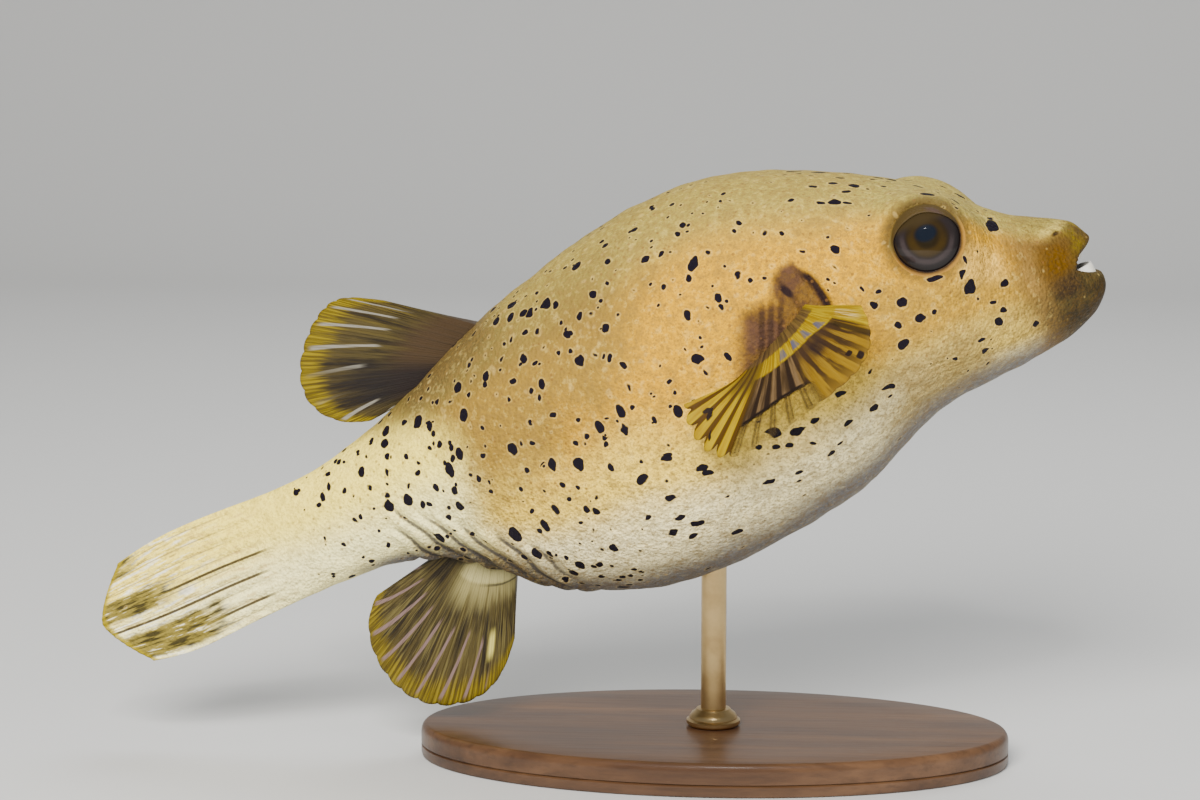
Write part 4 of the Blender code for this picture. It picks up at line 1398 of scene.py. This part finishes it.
def build_studio():
    """A pale floor that curves up into a backdrop behind the model."""
    front, bend_start, bend, wall_top, half_width = -1.6, 0.9, 0.5, 2.0, 2.5
    profile = [(front, 0.0)]
    for turn in np.linspace(0, math.pi / 2, 25):
        profile.append((bend_start + bend * math.sin(turn), bend * (1 - math.cos(turn))))
    profile.append((bend_start + bend, wall_top))
    points = [(x, y, z) for y, z in profile for x in (-half_width, half_width)]
    faces = [(2 * i, 2 * i + 1, 2 * i + 3, 2 * i + 2) for i in range(len(profile) - 1)]
    mesh = bpy.data.meshes.new("studio_floor")
    mesh.from_pydata(points, [], faces)
    mesh.shade_smooth()
    f = Finish("studio_paper")
    f.colour = f.mix(f.noise(f.object_place(), 3.0, 2), (0.50, 0.50, 0.49), (0.53, 0.525, 0.515))
    mesh.materials.append(f.shine(roughness=0.8))
    add_object("studio_floor", mesh)


def add_light(name, place_at, aim, size, power, colour=(1, 1, 1), mirrored=True):
    """A round soft light; where it isn't mirrored, glossy surfaces don't show it."""
    light = bpy.data.lights.new(name, "AREA")
    light.shape = "DISK"
    light.size = size
    light.energy = power
    light.color = colour
    obj = add_object(name, light)
    obj.location = place_at
    obj.rotation_euler = (Vector(aim) - Vector(place_at)).to_track_quat("-Z", "Y").to_euler()
    obj.visible_glossy = mirrored


LENS = 100.0
SENSOR = 36.0
FIELD_WIDTH = 0.2826  # metres across the view at the fish
VIEW_AZIMUTH = math.radians(4.7)
VIEW_ELEVATION = math.radians(9.0)
VIEW_CENTRE = Vector((-0.0271, 0.0, 0.0861))  # the point that the camera looks at


def add_camera():
    """The camera on the fish's right side, a little ahead of square and above level."""
    camera = bpy.data.cameras.new("camera")
    camera.lens, camera.sensor_width = LENS, SENSOR
    camera.clip_start = 0.01
    distance = FIELD_WIDTH * LENS / SENSOR
    level = math.cos(VIEW_ELEVATION)
    towards = Vector(
        (math.sin(VIEW_AZIMUTH) * level, -math.cos(VIEW_AZIMUTH) * level, math.sin(VIEW_ELEVATION))
    )
    obj = add_object("camera", camera)
    obj.location = VIEW_CENTRE + towards * distance
    obj.rotation_euler = (math.pi / 2 - VIEW_ELEVATION, 0, VIEW_AZIMUTH)
    bpy.context.scene.camera = obj


def light_studio():
    """A soft key light from the camera's left, a small catch light, a fill on its right and a top light."""
    world = bpy.data.worlds.new("studio")
    bpy.context.scene.world = world
    world.use_nodes = True
    background = world.node_tree.nodes["Background"]
    background.inputs["Color"].default_value = (0.95, 0.97, 1.0, 1)
    background.inputs["Strength"].default_value = 0.25
    middle = (0.0, 0.0, 0.09)
    add_light("key", (-0.27, -1.15, 0.86), middle, 0.75, 47.5, (1.0, 0.98, 0.94), mirrored=False)
    add_light("catch", (0.04, -1.0, 1.0), middle, 0.1, 3.2)
    add_light("fill", (0.95, -0.75, 0.45), middle, 0.7, 6, mirrored=False)
    add_light("top", (0.1, 0.45, 0.95), middle, 0.7, 7.5, (0.95, 0.98, 1.0), mirrored=False)


# ---------------------------------------------------------------- assembly


def paint(piece, material):
    """Gives a piece its only material, and returns the piece."""
    piece.data.materials.clear()
    piece.data.materials.append(material)
    return piece


def main():
    skin = paint(build_skin(), skin_finish())
    ride(skin, "head", "snout", "lower_jaw", "trunk", "tail_stalk", "tail_fin", slot="spotted_skin")
    tree = ray_tree()
    for fin in UPRIGHT_FINS:
        surface, finish = fan(fin), upright_fin_finish(fin)
        piece = build_fin(fin.node + "_membrane", surface, fin.rays, fin.root_thick, fleshy=0.4)
        ride(paint(piece, finish), fin.node, slot="fin_membrane")
        rays = build_rays(fin.node + "_rays", surface, fin.rays, UPRIGHT_RAY_THICK, tree, finish)
        ride(rays, slot="fin_membrane")
    pectoral, eye, lid = pectoral_finish(), eye_finish(), lid_finish()
    for name, side in SIDES:
        node, surface = "pectoral_fin_" + name, paddle(side)
        shape = {"root_thick": PECTORAL_ROOT_THICK, "fleshy": 0.3, "columns_per_ray": 8, "fingers": 0.7}
        piece = build_fin(node + "_membrane", surface, PECTORAL_RAYS, **shape)
        ride(paint(piece, pectoral), node, slot="pectoral_membrane")
        rays = build_rays(node + "_rays", surface, PECTORAL_RAYS, PECTORAL_RAY_THICK, tree, pectoral)
        ride(rays, slot="pectoral_membrane")
        ride(paint(build_eye(name, side), eye), "eye_" + name, slot="eye")
        ride(paint(build_lid(name, side), lid), slot="spotted_skin")
    tooth = tooth_finish()
    for beak in BEAKS:
        ride(paint(build_beak(beak), tooth), beak.node, slot="tooth")

    ride(paint(build_base(), wood_finish()), "stand_base", slot="stand_wood")
    brass = brass_finish()
    ride(paint(build_rod(), brass), "stand_rod", slot="stand_metal")
    ride(paint(build_collar(), brass), "stand_collar", slot="stand_metal")

    build_studio()
    light_studio()
    add_camera()


main()
